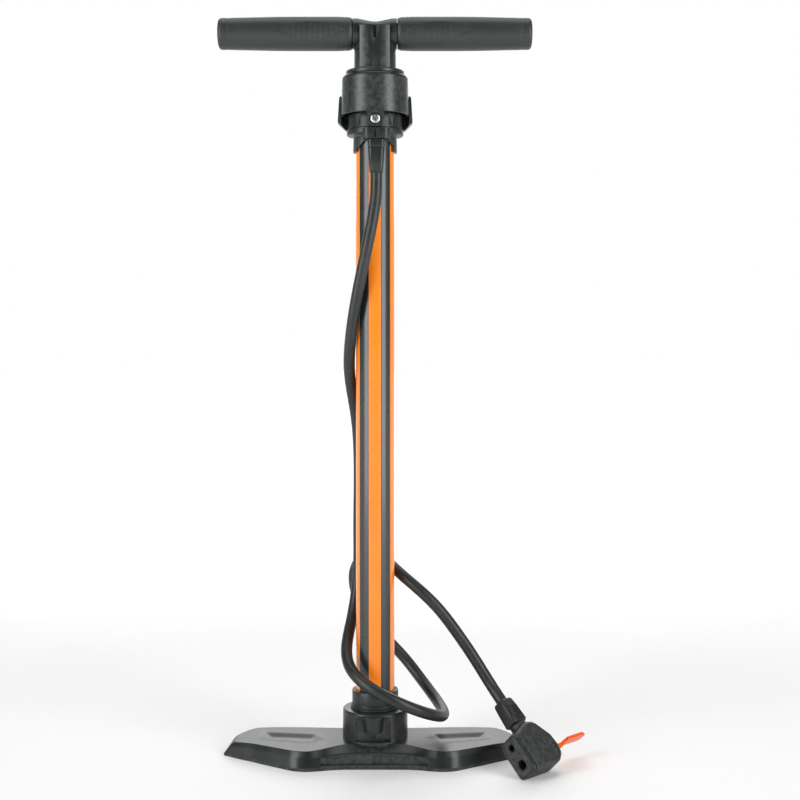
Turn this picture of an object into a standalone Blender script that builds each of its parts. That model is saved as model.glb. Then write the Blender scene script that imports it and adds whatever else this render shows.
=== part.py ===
"""Floor bike pump. A striped barrel stands on a two-winged foot; a T-handle drives the piston inside it, a
gauge sits at the back of the cap, and a free hose ends in a pump head with a lever. Metres, +Z up. The
origin is on the barrel's axis at the floor, and -Y is the side that the hose comes out of."""

from math import cos, pi, radians, sin, sqrt, tau

import bmesh
import bpy
from mathutils import Matrix, Vector

MM = 0.001
GAP = 0.3 * MM
# How finely round shapes are stepped, as a share of the steps that each one asks for
ROUNDNESS = 0.7
LEAST_STEPS = 8

# Barrel and its inner cylinder
BARREL_R = 17.65 * MM
BARREL_BORE_R = 16.45 * MM
BARREL_Z = (52.3 * MM, 589.0 * MM)
CYLINDER_R = 15.0 * MM
CYLINDER_BORE_R = 14.0 * MM
CYLINDER_Z = (56.3 * MM, 598.0 * MM)

# Foot
HUB_R = 29.6 * MM
HUB_TOP = 47.0 * MM
SPIGOT_R = 17.0 * MM
FOOT_WALL = 3.0 * MM
# x, then (y, z) of the section's front shoulder, front top and rear top, and y of its front and rear feet
FOOT_STATIONS = (
    (0, -37.5, (-36.8, 15.3), (-26.0, 20.5), (37.5, 17.2), 41.0),
    (28, -37.5, (-36.8, 14.6), (-26.5, 20.0), (37.5, 17.2), 41.0),
    (40, -39.2, (-37.5, 12.5), (-30.0, 18.2), (37.8, 17.2), 41.4),
    (50, -42.3, (-40.2, 11.0), (-36.0, 17.4), (38.4, 17.3), 41.8),
    (60, -44.5, (-42.2, 12.0), (-39.8, 17.0), (39.0, 17.3), 42.4),
    (72, -42.5, (-40.0, 12.0), (-37.2, 16.8), (39.8, 17.3), 43.2),
    (96, -26.0, (-23.8, 12.0), (-21.0, 16.2), (41.2, 17.0), 44.5),
    (112, -14.0, (-12.0, 11.5), (-9.6, 15.6), (41.2, 16.6), 44.2),
    (120, -9.0, (-7.2, 11.2), (-4.8, 15.0), (36.5, 15.8), 40.0),
    (130, -1.6, (-0.6, 10.6), (1.4, 13.8), (23.0, 14.4), 26.6),
    (136, 3.2, (4.2, 9.4), (5.6, 12.4), (12.5, 12.6), 14.6),
    (139, 6.2, (6.4, 7.6), (6.8, 9.6), (7.8, 9.8), 8.4),
)
LIP = 3.0
# Shallow hollow in each wing's top, and the bays of the wing's underside
WING_HOLLOW = ((105, 28), (54, 18), (44, 2), (55, -10), (66, -14), (110, 4))
POCKETS = ((34, 50), (53, 70), (73, 91), (94, 112))
WING_THICKNESS = 6.5
SCREW_SPREAD = 14.0 * MM
PLUG_X = -1.5 * MM

# Cap
COLLAR_FLANGE_R = 25.9 * MM
COLLAR_Z = (556.0 * MM, 589.7 * MM)
DRUM_TOP_R = 30.35 * MM
DRUM_R = 30.9 * MM
DRUM_Z = (590.0 * MM, 630.5 * MM)
SCREW_X = 0.8 * MM
SCREW_Z = 583.0 * MM

# Gauge: its dial looks backwards and a little up
GAUGE_TILT = radians(20)
GAUGE_AT = Vector((0, 33.4, 600.0)) * MM
GAUGE_R = 25.0 * MM
GAUGE_CAVITY_R = 22.6 * MM
BEZEL_R = 25.9 * MM

# Rod, piston and handle
ROD_R = 6.0 * MM
ROD_BORE_R = 4.5 * MM
PISTON_Z = 74.0 * MM
HANDLE_Z = 664.6 * MM
HANDLE_HALF = 143.0 * MM
STEM_R = 19.15 * MM
STEM_Z = 630.8 * MM

# Hose and pump head
HOSE_R = 5.25 * MM
HOSE_START = Vector((1.6, -26.5, 534.8)) * MM
# The hose's way from the strain relief round the barrel, in mm
HOSE_ROUTE = (
    (1.6, -26.5, 534.8), (1.4, -26.8, 517.3), (-1.0, -28.6, 497.4), (-5.9, -28.5, 472.1),
    (-17.0, -18.4, 419.5), (-23.8, 0.0, 365.3), (-21.6, 10.6, 336.9), (-17.6, 19.6, 309.2),
    (-15.9, 27.3, 278.8), (-15.9, 33.6, 244.2), (-16.4, 36.8, 206.6), (-16.4, 35.2, 174.3),
    (-18.7, 29.3, 145.6), (-22.7, 17.4, 122.2), (-26.2, -0.2, 103.3), (-23.1, -19.6, 89.3),
    (-13.4, -33.6, 80.1), (0.5, -42.4, 72.3), (18.0, -45.3, 63.9), (36.0, -40.4, 55.1),
    (51.2, -27.7, 47.0), (60.8, -8.1, 40.6), (63.3, 14.9, 37.9), (60.0, 35.6, 40.0),
    (52.8, 53.4, 46.3), (39.5, 71.0, 60.2), (22.1, 81.2, 79.3), (-9.1, 85.3, 113.1),
    (-20.9, 80.8, 140.3), (-21.7, 70.6, 159.2), (-15.7, 57.2, 172.6), (-3.7, 40.7, 179.7),
    (9.6, 25.1, 177.8), (22.5, 11.0, 168.8), (38.9, 1.3, 156.2), (57.9, -2.1, 138.2),
    (75.0, -2.0, 116.0), (90.3, -5.0, 94.0),
)
HOSE_SPACING = 22.0 * MM
HEAD_AT = Vector((125.0, -63.5, 19.4)) * MM
VALVE_WAY = Vector((-0.70, -0.714, 0.0))
HOSE_WAY = Vector((0.51, -0.50, -0.70))
# The head's side view: how far up its Y and how far behind its face the body reaches
HEAD_PROFILE = (
    (17.5, 4.3), (19.2, 8.0), (23.8, 19.5), (24.9, 23.0), (25.0, 28.5), (24.0, 33.0), (21.4, 36.6),
    (7.2, 46.0), (-4.6, 47.4), (-13.2, 45.0), (-18.2, 39.0), (-19.5, 32.0), (-19.5, 4.3),
)
# How far in its outline is at each distance from the middle plane
HEAD_EDGE = ((6.5, 0.2), (8.8, 1.0), (10.2, 2.4), (11.0, 4.6))
HOSE_BEHIND_FACE = 25.0 * MM
STUB_END = 27.5 * MM
FERRULE_LENGTH = 25.0 * MM
CHAMBER_AT = (0, -0.4 * MM)
LEVER_Y = -4.5 * MM
LEVER_Z = -40.0 * MM


def clear_scene():
    for leftover in list(bpy.data.objects):
        bpy.data.objects.remove(leftover)


def finish(name, colour, roughness, metallic=0.0):
    material = bpy.data.materials.new(name)
    material.use_nodes = True
    shader = material.node_tree.nodes["Principled BSDF"]
    shader.inputs["Base Color"].default_value = (*colour, 1.0)
    shader.inputs["Roughness"].default_value = roughness
    shader.inputs["Metallic"].default_value = metallic
    return material


# ---------------------------------------------------------------- shapes


def solid(name, bm, material, frame=None):
    """Turns the closed shape in bm into an object whose own axes lie where frame puts them."""
    bmesh.ops.remove_doubles(bm, verts=bm.verts, dist=1e-7)
    bmesh.ops.recalc_face_normals(bm, faces=bm.faces)
    mesh = bpy.data.meshes.new(name)
    bm.to_mesh(mesh)
    bm.free()
    mesh.shade_smooth()
    mesh.set_sharp_from_angle(angle=radians(32))
    if material:
        mesh.materials.append(material)
    made = bpy.data.objects.new(name, mesh)
    bpy.context.scene.collection.objects.link(made)
    if frame:
        made.matrix_world = frame
    return made


def turned(profile, steps=36):
    """A round shape about Z from a closed profile of (radius, height) pairs; radius 0 is on the axis."""
    steps = max(LEAST_STEPS, round(steps * ROUNDNESS))
    bm = bmesh.new()
    ring = [bm.verts.new((radius, 0, height)) for radius, height in profile]
    edges = []
    for here, after in zip(ring, ring[1:] + ring[:1]):
        if here.co.x > 0 or after.co.x > 0:
            edges.append(bm.edges.new((here, after)))
    bmesh.ops.spin(
        bm, geom=ring + edges, axis=(0, 0, 1), cent=(0, 0, 0), angle=tau, steps=steps, use_merge=True
    )
    bmesh.ops.remove_doubles(bm, verts=bm.verts, dist=1e-6)
    return bm


def round_side(radius, low, high, chamfer):
    """The outer side of a round shape, bottom to top, with a chamfer at both ends if there is one."""
    if not chamfer:
        return (radius, low), (radius, high)
    narrow = radius - chamfer
    return (narrow, low), (radius, low + chamfer), (radius, high - chamfer), (narrow, high)


def tube(outer, inner, low, high, steps=36, chamfer=0.0):
    return turned((*round_side(outer, low, high, chamfer), (inner, high), (inner, low)), steps)


def rod(radius, low, high, steps=24, chamfer=0.0):
    return turned(((0, low), *round_side(radius, low, high, chamfer), (0, high)), steps)


def lofted(loops):
    """A closed shape through loops of equally many points; its first and last loops are its ends."""
    bm = bmesh.new()
    rings = [[bm.verts.new(point) for point in loop] for loop in loops]
    for here, after in zip(rings, rings[1:]):
        for i in range(len(here)):
            bm.faces.new((here[i - 1], here[i], after[i], after[i - 1]))
    bm.faces.new(rings[0][::-1])
    bm.faces.new(rings[-1])
    return bm


def prism(outline, low, high):
    return lofted([[(x, y, height) for x, y in outline] for height in (low, high)])


def box(low, high, bevel=0.0):
    low, high = Vector(low), Vector(high)
    bm = bmesh.new()
    bmesh.ops.create_cube(bm, size=1.0)
    bmesh.ops.scale(bm, vec=high - low, verts=bm.verts)
    bmesh.ops.translate(bm, vec=(high + low) / 2, verts=bm.verts)
    if bevel:
        bmesh.ops.bevel(bm, geom=bm.edges[:], offset=bevel, segments=2, profile=0.5, affect="EDGES")
    return bm


def rounded_rectangle(width, height, radius, corner_steps=4, centre=(0, 0)):
    points = []
    for quarter in range(4):
        sign_x = 1 if quarter in (0, 3) else -1
        sign_y = 1 if quarter < 2 else -1
        for step in range(corner_steps + 1):
            angle = (quarter + step / corner_steps) * pi / 2
            x = centre[0] + sign_x * (width / 2 - radius) + radius * cos(angle)
            y = centre[1] + sign_y * (height / 2 - radius) + radius * sin(angle)
            points.append((x, y))
    return points


def in_mm(*points):
    return tuple(tuple(value * MM for value in point) for point in points)


def arc(radius, start_deg, end_deg, steps, centre=(0, 0)):
    turns = [radians(start_deg + (end_deg - start_deg) * i / steps) for i in range(steps + 1)]
    return [(centre[0] + radius * cos(turn), centre[1] + radius * sin(turn)) for turn in turns]


def helper(name, bm, frame=None):
    made = solid(name, bm, None, frame)
    made.hide_render = True
    made.display_type = "WIRE"
    return made


def change(target, operation, bm, frame=None):
    """Adds a Boolean of the shape in bm to target, in world space unless frame says otherwise."""
    tool = helper(f"{target.name}.{operation.lower()}.{len(target.modifiers)}", bm, frame)
    modifier = target.modifiers.new(tool.name, "BOOLEAN")
    modifier.operation = operation
    modifier.solver = "EXACT"
    modifier.object = tool


def cut(target, bm, frame=None):
    change(target, "DIFFERENCE", bm, frame)


def join(target, bm, frame=None):
    change(target, "UNION", bm, frame)


def at(x, y, z, rotation=None):
    place = Matrix.Translation((x, y, z))
    return place @ rotation.to_4x4() if rotation else place


def axes_at(place, x_way, y_way, z_way):
    turn = Matrix((x_way, y_way, z_way)).transposed()
    return at(*place, turn)


def across(place, z_way):
    """A frame at place whose Z runs along z_way, for round things whose turn doesn't matter."""
    return at(*place, Vector(z_way).to_track_quat("Z", "Y").to_matrix())


def coil(radius, wire_r, low, high, turns, steps_per_turn=10, sides=5):
    """A closed helical wire about Z, with its ends inside low and high."""
    rise = (high - low - 2 * wire_r) / (turns * tau)
    slope = Vector((0, radius, rise)).normalized()
    rings = []
    for step in range(int(turns * steps_per_turn) + 1):
        angle = step / steps_per_turn * tau
        turn = Matrix.Rotation(angle, 3, "Z")
        centre = turn @ Vector((radius, 0, 0)) + Vector((0, 0, low + wire_r + rise * angle))
        out, along = turn @ Vector((1, 0, 0)), turn @ slope
        side = along.cross(out)
        turns_round = [tau * i / sides for i in range(sides)]
        ring = [centre + wire_r * (out * cos(a) + side * sin(a)) for a in turns_round]
        rings.append(ring)
    return lofted(rings)


# ---------------------------------------------------------------- base


def foot_section(x, front, shoulder, front_top, rear_top, rear):
    return [
        (x, front, 0),
        (x, front, LIP),
        (x, *shoulder),
        (x, front_top[0] - 1.0, front_top[1] - 0.8),
        (x, front_top[0] + 1.0, front_top[1]),
        (x, rear_top[0] - 1.0, rear_top[1]),
        (x, rear_top[0] + 1.0, rear_top[1] - 0.8),
        (x, rear, LIP),
        (x, rear, 0),
    ]


def station_at(x):
    """The foot's section at any x, between its stations."""
    for before, after in zip(FOOT_STATIONS, FOOT_STATIONS[1:]):
        if before[0] <= abs(x) <= after[0]:
            t = (abs(x) - before[0]) / (after[0] - before[0])
            mixed = [abs(x)]
            for a, b in zip(before[1:], after[1:]):
                if isinstance(a, tuple):
                    mixed.append(tuple(p + (q - p) * t for p, q in zip(a, b)))
                else:
                    mixed.append(a + (b - a) * t)
            return mixed
    raise ValueError(x)


def pocket(x_from, x_to, side):
    """The space under one bay of a wing, inside the foot's walls and ribs."""
    wall = FOOT_WALL / MM
    loops = []
    for x in (x_from, (x_from + x_to) / 2, x_to):
        _, front, shoulder, front_top, rear_top, rear = station_at(x)
        ceiling = rear_top[1] - WING_THICKNESS
        upper = ((shoulder[0] + wall, ceiling), (rear_top[0] - wall, ceiling))
        loop = [(front + wall, -1), *upper, (rear - wall, -1)]
        loops.append([Vector((side * x, y, z)) * MM for y, z in loop])
    return lofted(loops)


def make_foot(plastic):
    loops = []
    for station in FOOT_STATIONS[:0:-1]:
        loops.append([Vector((-x, y, z)) * MM for x, y, z in foot_section(*station)])
    for station in FOOT_STATIONS:
        loops.append([Vector(point) * MM for point in foot_section(*station)])
    foot = solid("foot", lofted(loops), plastic)
    join(foot, turned((
        (0, 8 * MM), (HUB_R, 8 * MM), (HUB_R + 0.3 * MM, 24 * MM), (HUB_R - 0.2 * MM, HUB_TOP - 1.2 * MM),
        (HUB_R - 1.4 * MM, HUB_TOP), (0, HUB_TOP),
    ), 40))
    cut(foot, rod(SPIGOT_R + GAP, 25.7 * MM, 60 * MM, 32))
    cut(foot, tube(26 * MM, 9 * MM, -1 * MM, 16.5 * MM, 32))
    for side in (-1, 1):
        cut(foot, rod(2.4 * MM, 10 * MM, 40 * MM, 12), at(side * SCREW_SPREAD, 0, 0))
        for x_from, x_to in POCKETS:
            cut(foot, pocket(x_from, x_to, side))
        hollow = [(-side * x * MM, y * MM) for x, y in WING_HOLLOW]
        cut(foot, prism(hollow, 13.4 * MM, 30 * MM))
    recess = ((-17.6, 21.5), (14.6, 21.5), (14.6, 41.5), (12.0, 45.0), (-15.0, 45.0), (-17.6, 41.5))
    front = axes_at((0, 0, 0), (1, 0, 0), (0, 0, 1), (0, -1, 0))
    cut(foot, prism([(x * MM, z * MM) for x, z in recess], 22.0 * MM, 40 * MM), front)
    cut(foot, rod(1.6 * MM, 18.6 * MM, 25 * MM, 12), front @ at(PLUG_X, 26.8 * MM, 0))
    return foot


def make_base(finishes):
    plastic, steel, rubber, brass = (finishes[name] for name in ("plastic", "steel", "rubber", "brass"))
    make_foot(plastic)

    # The cup under the barrel: a sleeve above the hub, and a spigot in it with the valve chamber
    cup = solid("barrel_base_cap", turned((
        (17.95 * MM, 64 * MM), (20.6 * MM, 64 * MM), (21.15 * MM, 63.3 * MM), (21.15 * MM, 51.0 * MM),
        (21.9 * MM, 50.4 * MM), (21.9 * MM, 49.0 * MM), (22.7 * MM, 48.4 * MM), (22.7 * MM, HUB_TOP + GAP),
        (SPIGOT_R, HUB_TOP + GAP), (SPIGOT_R, 26 * MM), (8.0 * MM, 26 * MM), (8.0 * MM, 44 * MM),
        (3.0 * MM, 44 * MM), (3.0 * MM, 55.6 * MM), (13.0 * MM, 55.6 * MM), (13.0 * MM, 52.0 * MM),
        (17.95 * MM, 52.0 * MM),
    ), 36), finishes["collar"])
    for half_turn in range(2):
        turn = Matrix.Rotation(half_turn * pi + pi / 4, 4, "Z")
        cut(cup, rod(0.9 * MM, 38 * MM, 53 * MM, 8), turn @ at(14.6 * MM, 0, 0))
        cut(cup, rod(0.9 * MM, 7 * MM, 14.6 * MM, 8), turn @ across((0, 0, 39 * MM), (1, 0, 0)))
    for side in (-1, 1):
        cut(cup, rod(2.0 * MM, 20 * MM, 38 * MM, 12), at(side * SCREW_SPREAD, 0, 0))
        solid(f"foot_screw_{'left' if side < 0 else 'right'}", turned((
            (0, 12.6 * MM), (3.2 * MM, 12.6 * MM), (4.0 * MM, 13.4 * MM), (4.0 * MM, 16.2 * MM),
            (1.7 * MM, 16.2 * MM), (1.7 * MM, 36 * MM), (0, 37.5 * MM),
        ), 12), steel, at(side * SCREW_SPREAD, 0, 0))

    solid("base_seal_ring", tube(16.1 * MM, 15.3 * MM, 52.6 * MM, 54.6 * MM, 28), rubber)
    solid("check_valve_seat", tube(7.7 * MM, 3.0 * MM, 41.7 * MM, 43.7 * MM, 24, 0.2 * MM), brass)
    poppet = turned(in_mm(
        (0, 38.2), (2.9, 38.2), (2.9, 39.6), (5.6, 39.6), (5.6, 41.0), (4.2, 41.4), (0, 41.4),
    ), 20)
    solid("check_valve_poppet", poppet, rubber)
    solid("check_valve_spring", coil(4.0 * MM, 0.4 * MM, 30.5 * MM, 39.3 * MM, 4.5), steel)
    solid("check_valve_plug", rod(7.7 * MM, 26.2 * MM, 30.2 * MM, 24, 0.3 * MM), brass)

    # The tapered plug of the hub's unused hose port, and the screw under it
    top, bottom = (10.2, 44.7), (8.2, 30.2)
    loops = []
    for half, z in (bottom, top):
        right = ((half, -22.3), (half, -26.8), (half * 0.55, -30.6))
        loop = [*right, *((-x, y) for x, y in right[::-1])]
        loops.append([Vector((PLUG_X / MM + x, y, z)) * MM for x, y in loop])
    solid("base_port_plug", lofted(loops), plastic)
    head = turned(((0, 18.8 * MM), (1.3 * MM, 18.8 * MM), (1.3 * MM, 22.4 * MM), (2.4 * MM, 22.4 * MM),
                   (2.4 * MM, 23.6 * MM), (1.8 * MM, 24.2 * MM), (0, 24.2 * MM)), 14)
    solid("base_port_screw", head, steel, across((PLUG_X, 0, 26.8 * MM), (0, -1, 0)))


# ---------------------------------------------------------------- barrel and cap


def make_barrel(finishes):
    solid("outer_barrel", tube(BARREL_R, BARREL_BORE_R, *BARREL_Z, 48), finishes["orange_lacquer"])
    solid("inner_cylinder", tube(CYLINDER_R, CYLINDER_BORE_R, *CYLINDER_Z, 36), finishes["steel"])


def make_collar(finishes):
    collar = solid("cap_collar", turned((
        (BARREL_R + GAP, 556.0 * MM), (20.1 * MM, 556.0 * MM), (19.85 * MM, 571.0 * MM),
        (COLLAR_FLANGE_R - 1.2 * MM, 571.0 * MM), (COLLAR_FLANGE_R, 572.2 * MM),
        (COLLAR_FLANGE_R, 576.5 * MM), (24.6 * MM, 577.0 * MM), (24.6 * MM, COLLAR_Z[1]),
        (BARREL_R + GAP, COLLAR_Z[1]),
    ), 40), finishes["collar"])
    # A boss at the front holds the hose outlet
    outline = rounded_rectangle(25 * MM, 17 * MM, 6 * MM, 4, (HOSE_START.x, -25.5 * MM))
    join(collar, prism(outline, 565.2 * MM, 574.5 * MM))
    right = ((18.5, 550), (18.5, 557), (15, 561), (11.5, 565.0))
    arch = (*right, *((-x, z) for x, z in right[::-1]))
    front = axes_at((0, 0, 0), (1, 0, 0), (0, 0, 1), (0, -1, 0))
    cut(collar, prism([(HOSE_START.x + x * MM, z * MM) for x, z in arch], 10 * MM, 22 * MM), front)
    cut(collar, rod(BARREL_R + GAP, 540 * MM, 600 * MM, 40))
    cut(collar, box((SCREW_X - 0.6 * MM, -36 * MM, 566 * MM), (SCREW_X + 0.6 * MM, -31.5 * MM, 573 * MM)))
    cut(collar, rod(3.3 * MM, 560 * MM, 572 * MM, 14), at(HOSE_START.x, HOSE_START.y, 0))
    cut(collar, rod(2.3 * MM, 20.5 * MM, 30 * MM, 12), front @ at(SCREW_X, SCREW_Z, 0))


def make_cap(finishes):
    plastic, steel, rubber, brass = (finishes[name] for name in ("plastic", "steel", "rubber", "brass"))
    make_collar(finishes)
    wall = 2.2 * MM
    bottom, top = DRUM_Z
    shoulder = [(DRUM_TOP_R - 6 * MM + x, top - 6 * MM + z) for x, z in arc(6 * MM, 0, 90, 5)]
    drum = solid("cap_cover", turned((
        (DRUM_R - wall, bottom), (DRUM_R, bottom), *shoulder, (10.0 * MM, top), (10.0 * MM, top - 2.6 * MM),
        (DRUM_TOP_R - 6 * MM, top - 2.6 * MM), (DRUM_TOP_R - wall, top - 7 * MM),
    ), 48), plastic)
    front = axes_at((0, 0, 0), (1, 0, 0), (0, 0, 1), (0, -1, 0))
    tab = [(SCREW_X + x, SCREW_Z + z) for x, z in arc(7.0 * MM, 180, 360, 10)]
    tab += [(SCREW_X + 8.4 * MM, 592.3 * MM), (SCREW_X - 8.4 * MM, 592.3 * MM)]
    join(drum, prism(tab, 26.45 * MM, 31.5 * MM), front)
    cut(drum, rod(5.3 * MM, 29.2 * MM, 36 * MM, 22), front @ at(SCREW_X, SCREW_Z, 0))
    cut(drum, rod(2.3 * MM, 24 * MM, 34 * MM, 12), front @ at(SCREW_X, SCREW_Z, 0))
    gauge = gauge_frame()
    cut(drum, rod(BEZEL_R + 2 * GAP, -14.5 * MM, 8 * MM, 37), gauge)

    screw = solid("cap_screw", turned(in_mm(
        (0, 20.9), (1.8, 20.9), (1.8, 29.5), (4.7, 29.5), (4.7, 30.6), (3.4, 31.6), (0, 31.8),
    ), 24), steel, front @ at(SCREW_X, SCREW_Z, 0))
    for half in ((2.8 * MM, 0.5 * MM), (0.5 * MM, 2.8 * MM)):
        slot = box((-half[0], -half[1], 30.3 * MM), (half[0], half[1], 33 * MM))
        cut(screw, slot, front @ at(SCREW_X, SCREW_Z, 0))

    # The head of the cylinder: it closes the barrel and guides the rod
    solid("cylinder_head", turned((
        (CYLINDER_BORE_R - GAP, 570 * MM), (CYLINDER_BORE_R - GAP, CYLINDER_Z[1] + GAP),
        (CYLINDER_R + 0.4 * MM, CYLINDER_Z[1] + GAP), (CYLINDER_R + 0.4 * MM, COLLAR_Z[1] + GAP),
        (18.0 * MM, COLLAR_Z[1] + GAP), (18.0 * MM, 603 * MM), (13.0 * MM, 607 * MM), (13.0 * MM, 614 * MM),
        (7.0 * MM, 614 * MM), (7.0 * MM, 591.3 * MM), (9.3 * MM, 591.3 * MM), (9.3 * MM, 570 * MM),
    ), 36), finishes["collar"])
    solid("rod_guide_bush", tube(9.0 * MM, ROD_R + GAP, 571 * MM, 591.0 * MM, 28), brass)
    solid("rod_wiper_seal", tube(9.6 * MM, ROD_R + GAP, 624.4 * MM, 629.6 * MM, 28, 0.4 * MM), rubber)
    solid("cylinder_top_seal", tube(16.1 * MM, 15.4 * MM, 585 * MM, 588.6 * MM, 28), rubber)


def gauge_frame():
    """Z points out of the dial, Y up it, and X to the right of a person who reads it."""
    out = Vector((0, cos(GAUGE_TILT), sin(GAUGE_TILT)))
    up = Vector((0, -sin(GAUGE_TILT), cos(GAUGE_TILT)))
    return axes_at(GAUGE_AT, up.cross(out), up, out)


def make_gauge(finishes):
    plastic, chrome = finishes["plastic"], finishes["chrome"]
    gauge = gauge_frame()
    right = ((27, 578.6), (34.3, 584), (34.3, 586), (33.0, 607.0), (31.5, 608.4))
    ears = (*right, *((-x, z) for x, z in right[::-1]))
    back = axes_at((0, 0, 0), (-1, 0, 0), (0, 0, 1), (0, 1, 0))
    housing = solid("gauge_housing", prism(in_mm(*ears), 2 * MM, 38 * MM), plastic, back)
    change(housing, "INTERSECT", rod(37 * MM, 560 * MM, 620 * MM, 48))
    cut(housing, rod(DRUM_R + GAP, 570 * MM, 640 * MM, 48))
    cut(housing, rod(26.4 * MM, -0.4 * MM, 15 * MM, 40), gauge)
    join(housing, rod(GAUGE_R, -11 * MM, 0, 36), gauge)
    cut(housing, rod(GAUGE_CAVITY_R, -8.8 * MM, 5 * MM, 36), gauge)
    cut(housing, rod(2.8 * MM, -14 * MM, 5 * MM, 12), gauge @ at(0, -10 * MM, 0))

    inner_r, thick = 21.4 * MM, 2.2 * MM
    solid("gauge_bezel", turned((
        (inner_r, GAP), (BEZEL_R, GAP), (BEZEL_R, 1.3 * MM), (BEZEL_R - 0.9 * MM, thick),
        (inner_r + 0.5 * MM, thick), (inner_r, thick - 0.5 * MM),
    ), 36), chrome, gauge)
    solid("gauge_lens", rod(22.3 * MM, -1.2 * MM, 0, 32), finishes["lens"], gauge)
    dial = solid("gauge_dial", rod(22.2 * MM, -4.2 * MM, -3.4 * MM, 32), finishes["white"], gauge)
    cut(dial, rod(1.6 * MM, -6 * MM, 0, 12), gauge)
    tube_path = [radians(angle) for angle in range(-60, 211, 15)]
    rings = []
    for angle in tube_path:
        out = Vector((cos(angle), sin(angle), 0))
        centre = out * 12 * MM + Vector((0, 0, -6.8 * MM))
        corners = ((-1, -1.3), (1, -1.3), (1, 1.3), (-1, 1.3))
        rings.append([centre + out * x * MM + Vector((0, 0, z * MM)) for x, z in corners])
    solid("gauge_bourdon_tube", lofted(rings), finishes["brass"], gauge)

    pointer = solid("gauge_pointer", rod(2.6 * MM, -2.9 * MM, -1.6 * MM, 16), finishes["orange"], gauge)
    outline = ((-1.3, -5), (1.3, -5), (0.5, 16), (-0.5, 16))
    needle = prism([(x * MM, y * MM) for x, y in outline], -2.7 * MM, -2.0 * MM)
    rest = Matrix.Rotation(radians(135), 4, "Z")
    join(pointer, needle, gauge @ rest)
    join(pointer, rod(1.2 * MM, -5.2 * MM, -2.2 * MM, 10), gauge)


# ---------------------------------------------------------------- piston and handle


def make_piston(finishes):
    z = PISTON_Z
    solid("piston_body", turned((
        (ROD_R * 0.6 + GAP, z), (11.5 * MM, z), (11.5 * MM, z + 6 * MM), (13.5 * MM, z + 6.4 * MM),
        (13.5 * MM, z + 12 * MM), (10.5 * MM, z + 14 * MM), (ROD_R * 0.6 + GAP, z + 14 * MM),
    ), 32), finishes["collar"])
    solid("piston_cup_seal", turned((
        (11.8 * MM, z + 2.0 * MM), (12.3 * MM, z - 1.5 * MM), (13.7 * MM, z - 1.5 * MM),
        (13.6 * MM, z + 5.8 * MM), (11.8 * MM, z + 5.8 * MM),
    ), 32), finishes["rubber"])
    rod_part = solid("piston_rod", turned((
        (0, z - 6.0 * MM), (ROD_R * 0.6, z - 6.0 * MM), (ROD_R * 0.6, z + 14.3 * MM), (ROD_R, z + 14.3 * MM),
        (ROD_R, 654.7 * MM), (0, 654.7 * MM),
    ), 28), finishes["chrome"])
    cut(rod_part, rod(2.1 * MM, -10 * MM, 10 * MM, 12), across((0, 0, 641 * MM), (0, 1, 0)))
    cut(rod_part, rod(ROD_BORE_R, 94 * MM, 632 * MM, 16))
    cut(rod_part, rod(1.4 * MM, 60 * MM, 96 * MM, 12))
    nut = [(6.2 * MM * cos(i * pi / 3), 6.2 * MM * sin(i * pi / 3)) for i in range(6)]
    nut_part = solid("rod_nut", prism(nut, z - 5.2 * MM, z - GAP), finishes["steel"])
    cut(nut_part, rod(ROD_R * 0.6 + GAP, z - 12 * MM, z + 5 * MM, 20))
    bumper = tube(10.5 * MM, ROD_R + GAP, z + 14.6 * MM, z + 22 * MM, 24, 1.0 * MM)
    solid("rod_bumper", bumper, finishes["rubber"])


def make_handle(finishes):
    plastic, grip = finishes["plastic"], finishes["grip"]
    core = solid("handle_core", turned((
        (0, STEM_Z), (STEM_R - 0.6 * MM, STEM_Z), (STEM_R, STEM_Z + 0.8 * MM), (STEM_R, 655 * MM),
        (16 * MM, 668 * MM), (9 * MM, 674 * MM), (0, 675.6 * MM),
    ), 40), plastic)
    sideways = across((0, 0, HANDLE_Z), (1, 0, 0))
    join(core, turned((
        (0, -139 * MM), (9.6 * MM, -139 * MM), (9.6 * MM, -20 * MM), (12.6 * MM, -20 * MM), (11.0 * MM, 0),
        (12.6 * MM, 20 * MM), (9.6 * MM, 20 * MM), (9.6 * MM, 139 * MM), (0, 139 * MM),
    ), 28), sideways)
    for side in (-1, 1):
        middle = side * 17.4 * MM
        cut(core, box((middle - 1.4 * MM, -30 * MM, 600 * MM), (middle + 1.4 * MM, -9.5 * MM, 650 * MM)))
    cut(core, rod(ROD_R + GAP, 600 * MM, 655 * MM, 28))
    cut(core, rod(2.1 * MM, -25 * MM, 17 * MM, 12), across((0, 0, 641 * MM), (0, -1, 0)))
    pin = across((0, 0, 641 * MM), (0, -1, 0))
    solid("handle_pin", rod(1.8 * MM, -18.6 * MM, 16.7 * MM, 12), finishes["steel"], pin)

    end = HANDLE_HALF
    curve = [(13.8 * MM - 3 * MM + x, end - 3 * MM + z) for x, z in arc(3 * MM, 0, 90, 3)]
    profile = (
        (9.9 * MM, 20.4 * MM), (13.6 * MM, 20.4 * MM), (14.9 * MM, 23 * MM), (15.4 * MM, 34 * MM),
        (15.3 * MM, 90 * MM), (14.4 * MM, 125 * MM), *curve, (0, end), (0, 139.6 * MM),
        (9.9 * MM, 139.6 * MM),
    )
    for side, name in ((-1, "left_grip"), (1, "right_grip")):
        solid(name, turned(profile, 32), grip, across((0, 0, HANDLE_Z), (side, 0, 0)))


# ---------------------------------------------------------------- hose and pump head


def head_frame():
    """Z points out of the valve holes, Y from the head towards the hose, and X across both."""
    z_way = VALVE_WAY.normalized()
    y_way = (-HOSE_WAY + HOSE_WAY.dot(z_way) * z_way).normalized()
    return axes_at(HEAD_AT, y_way.cross(z_way), y_way, z_way)


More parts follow.
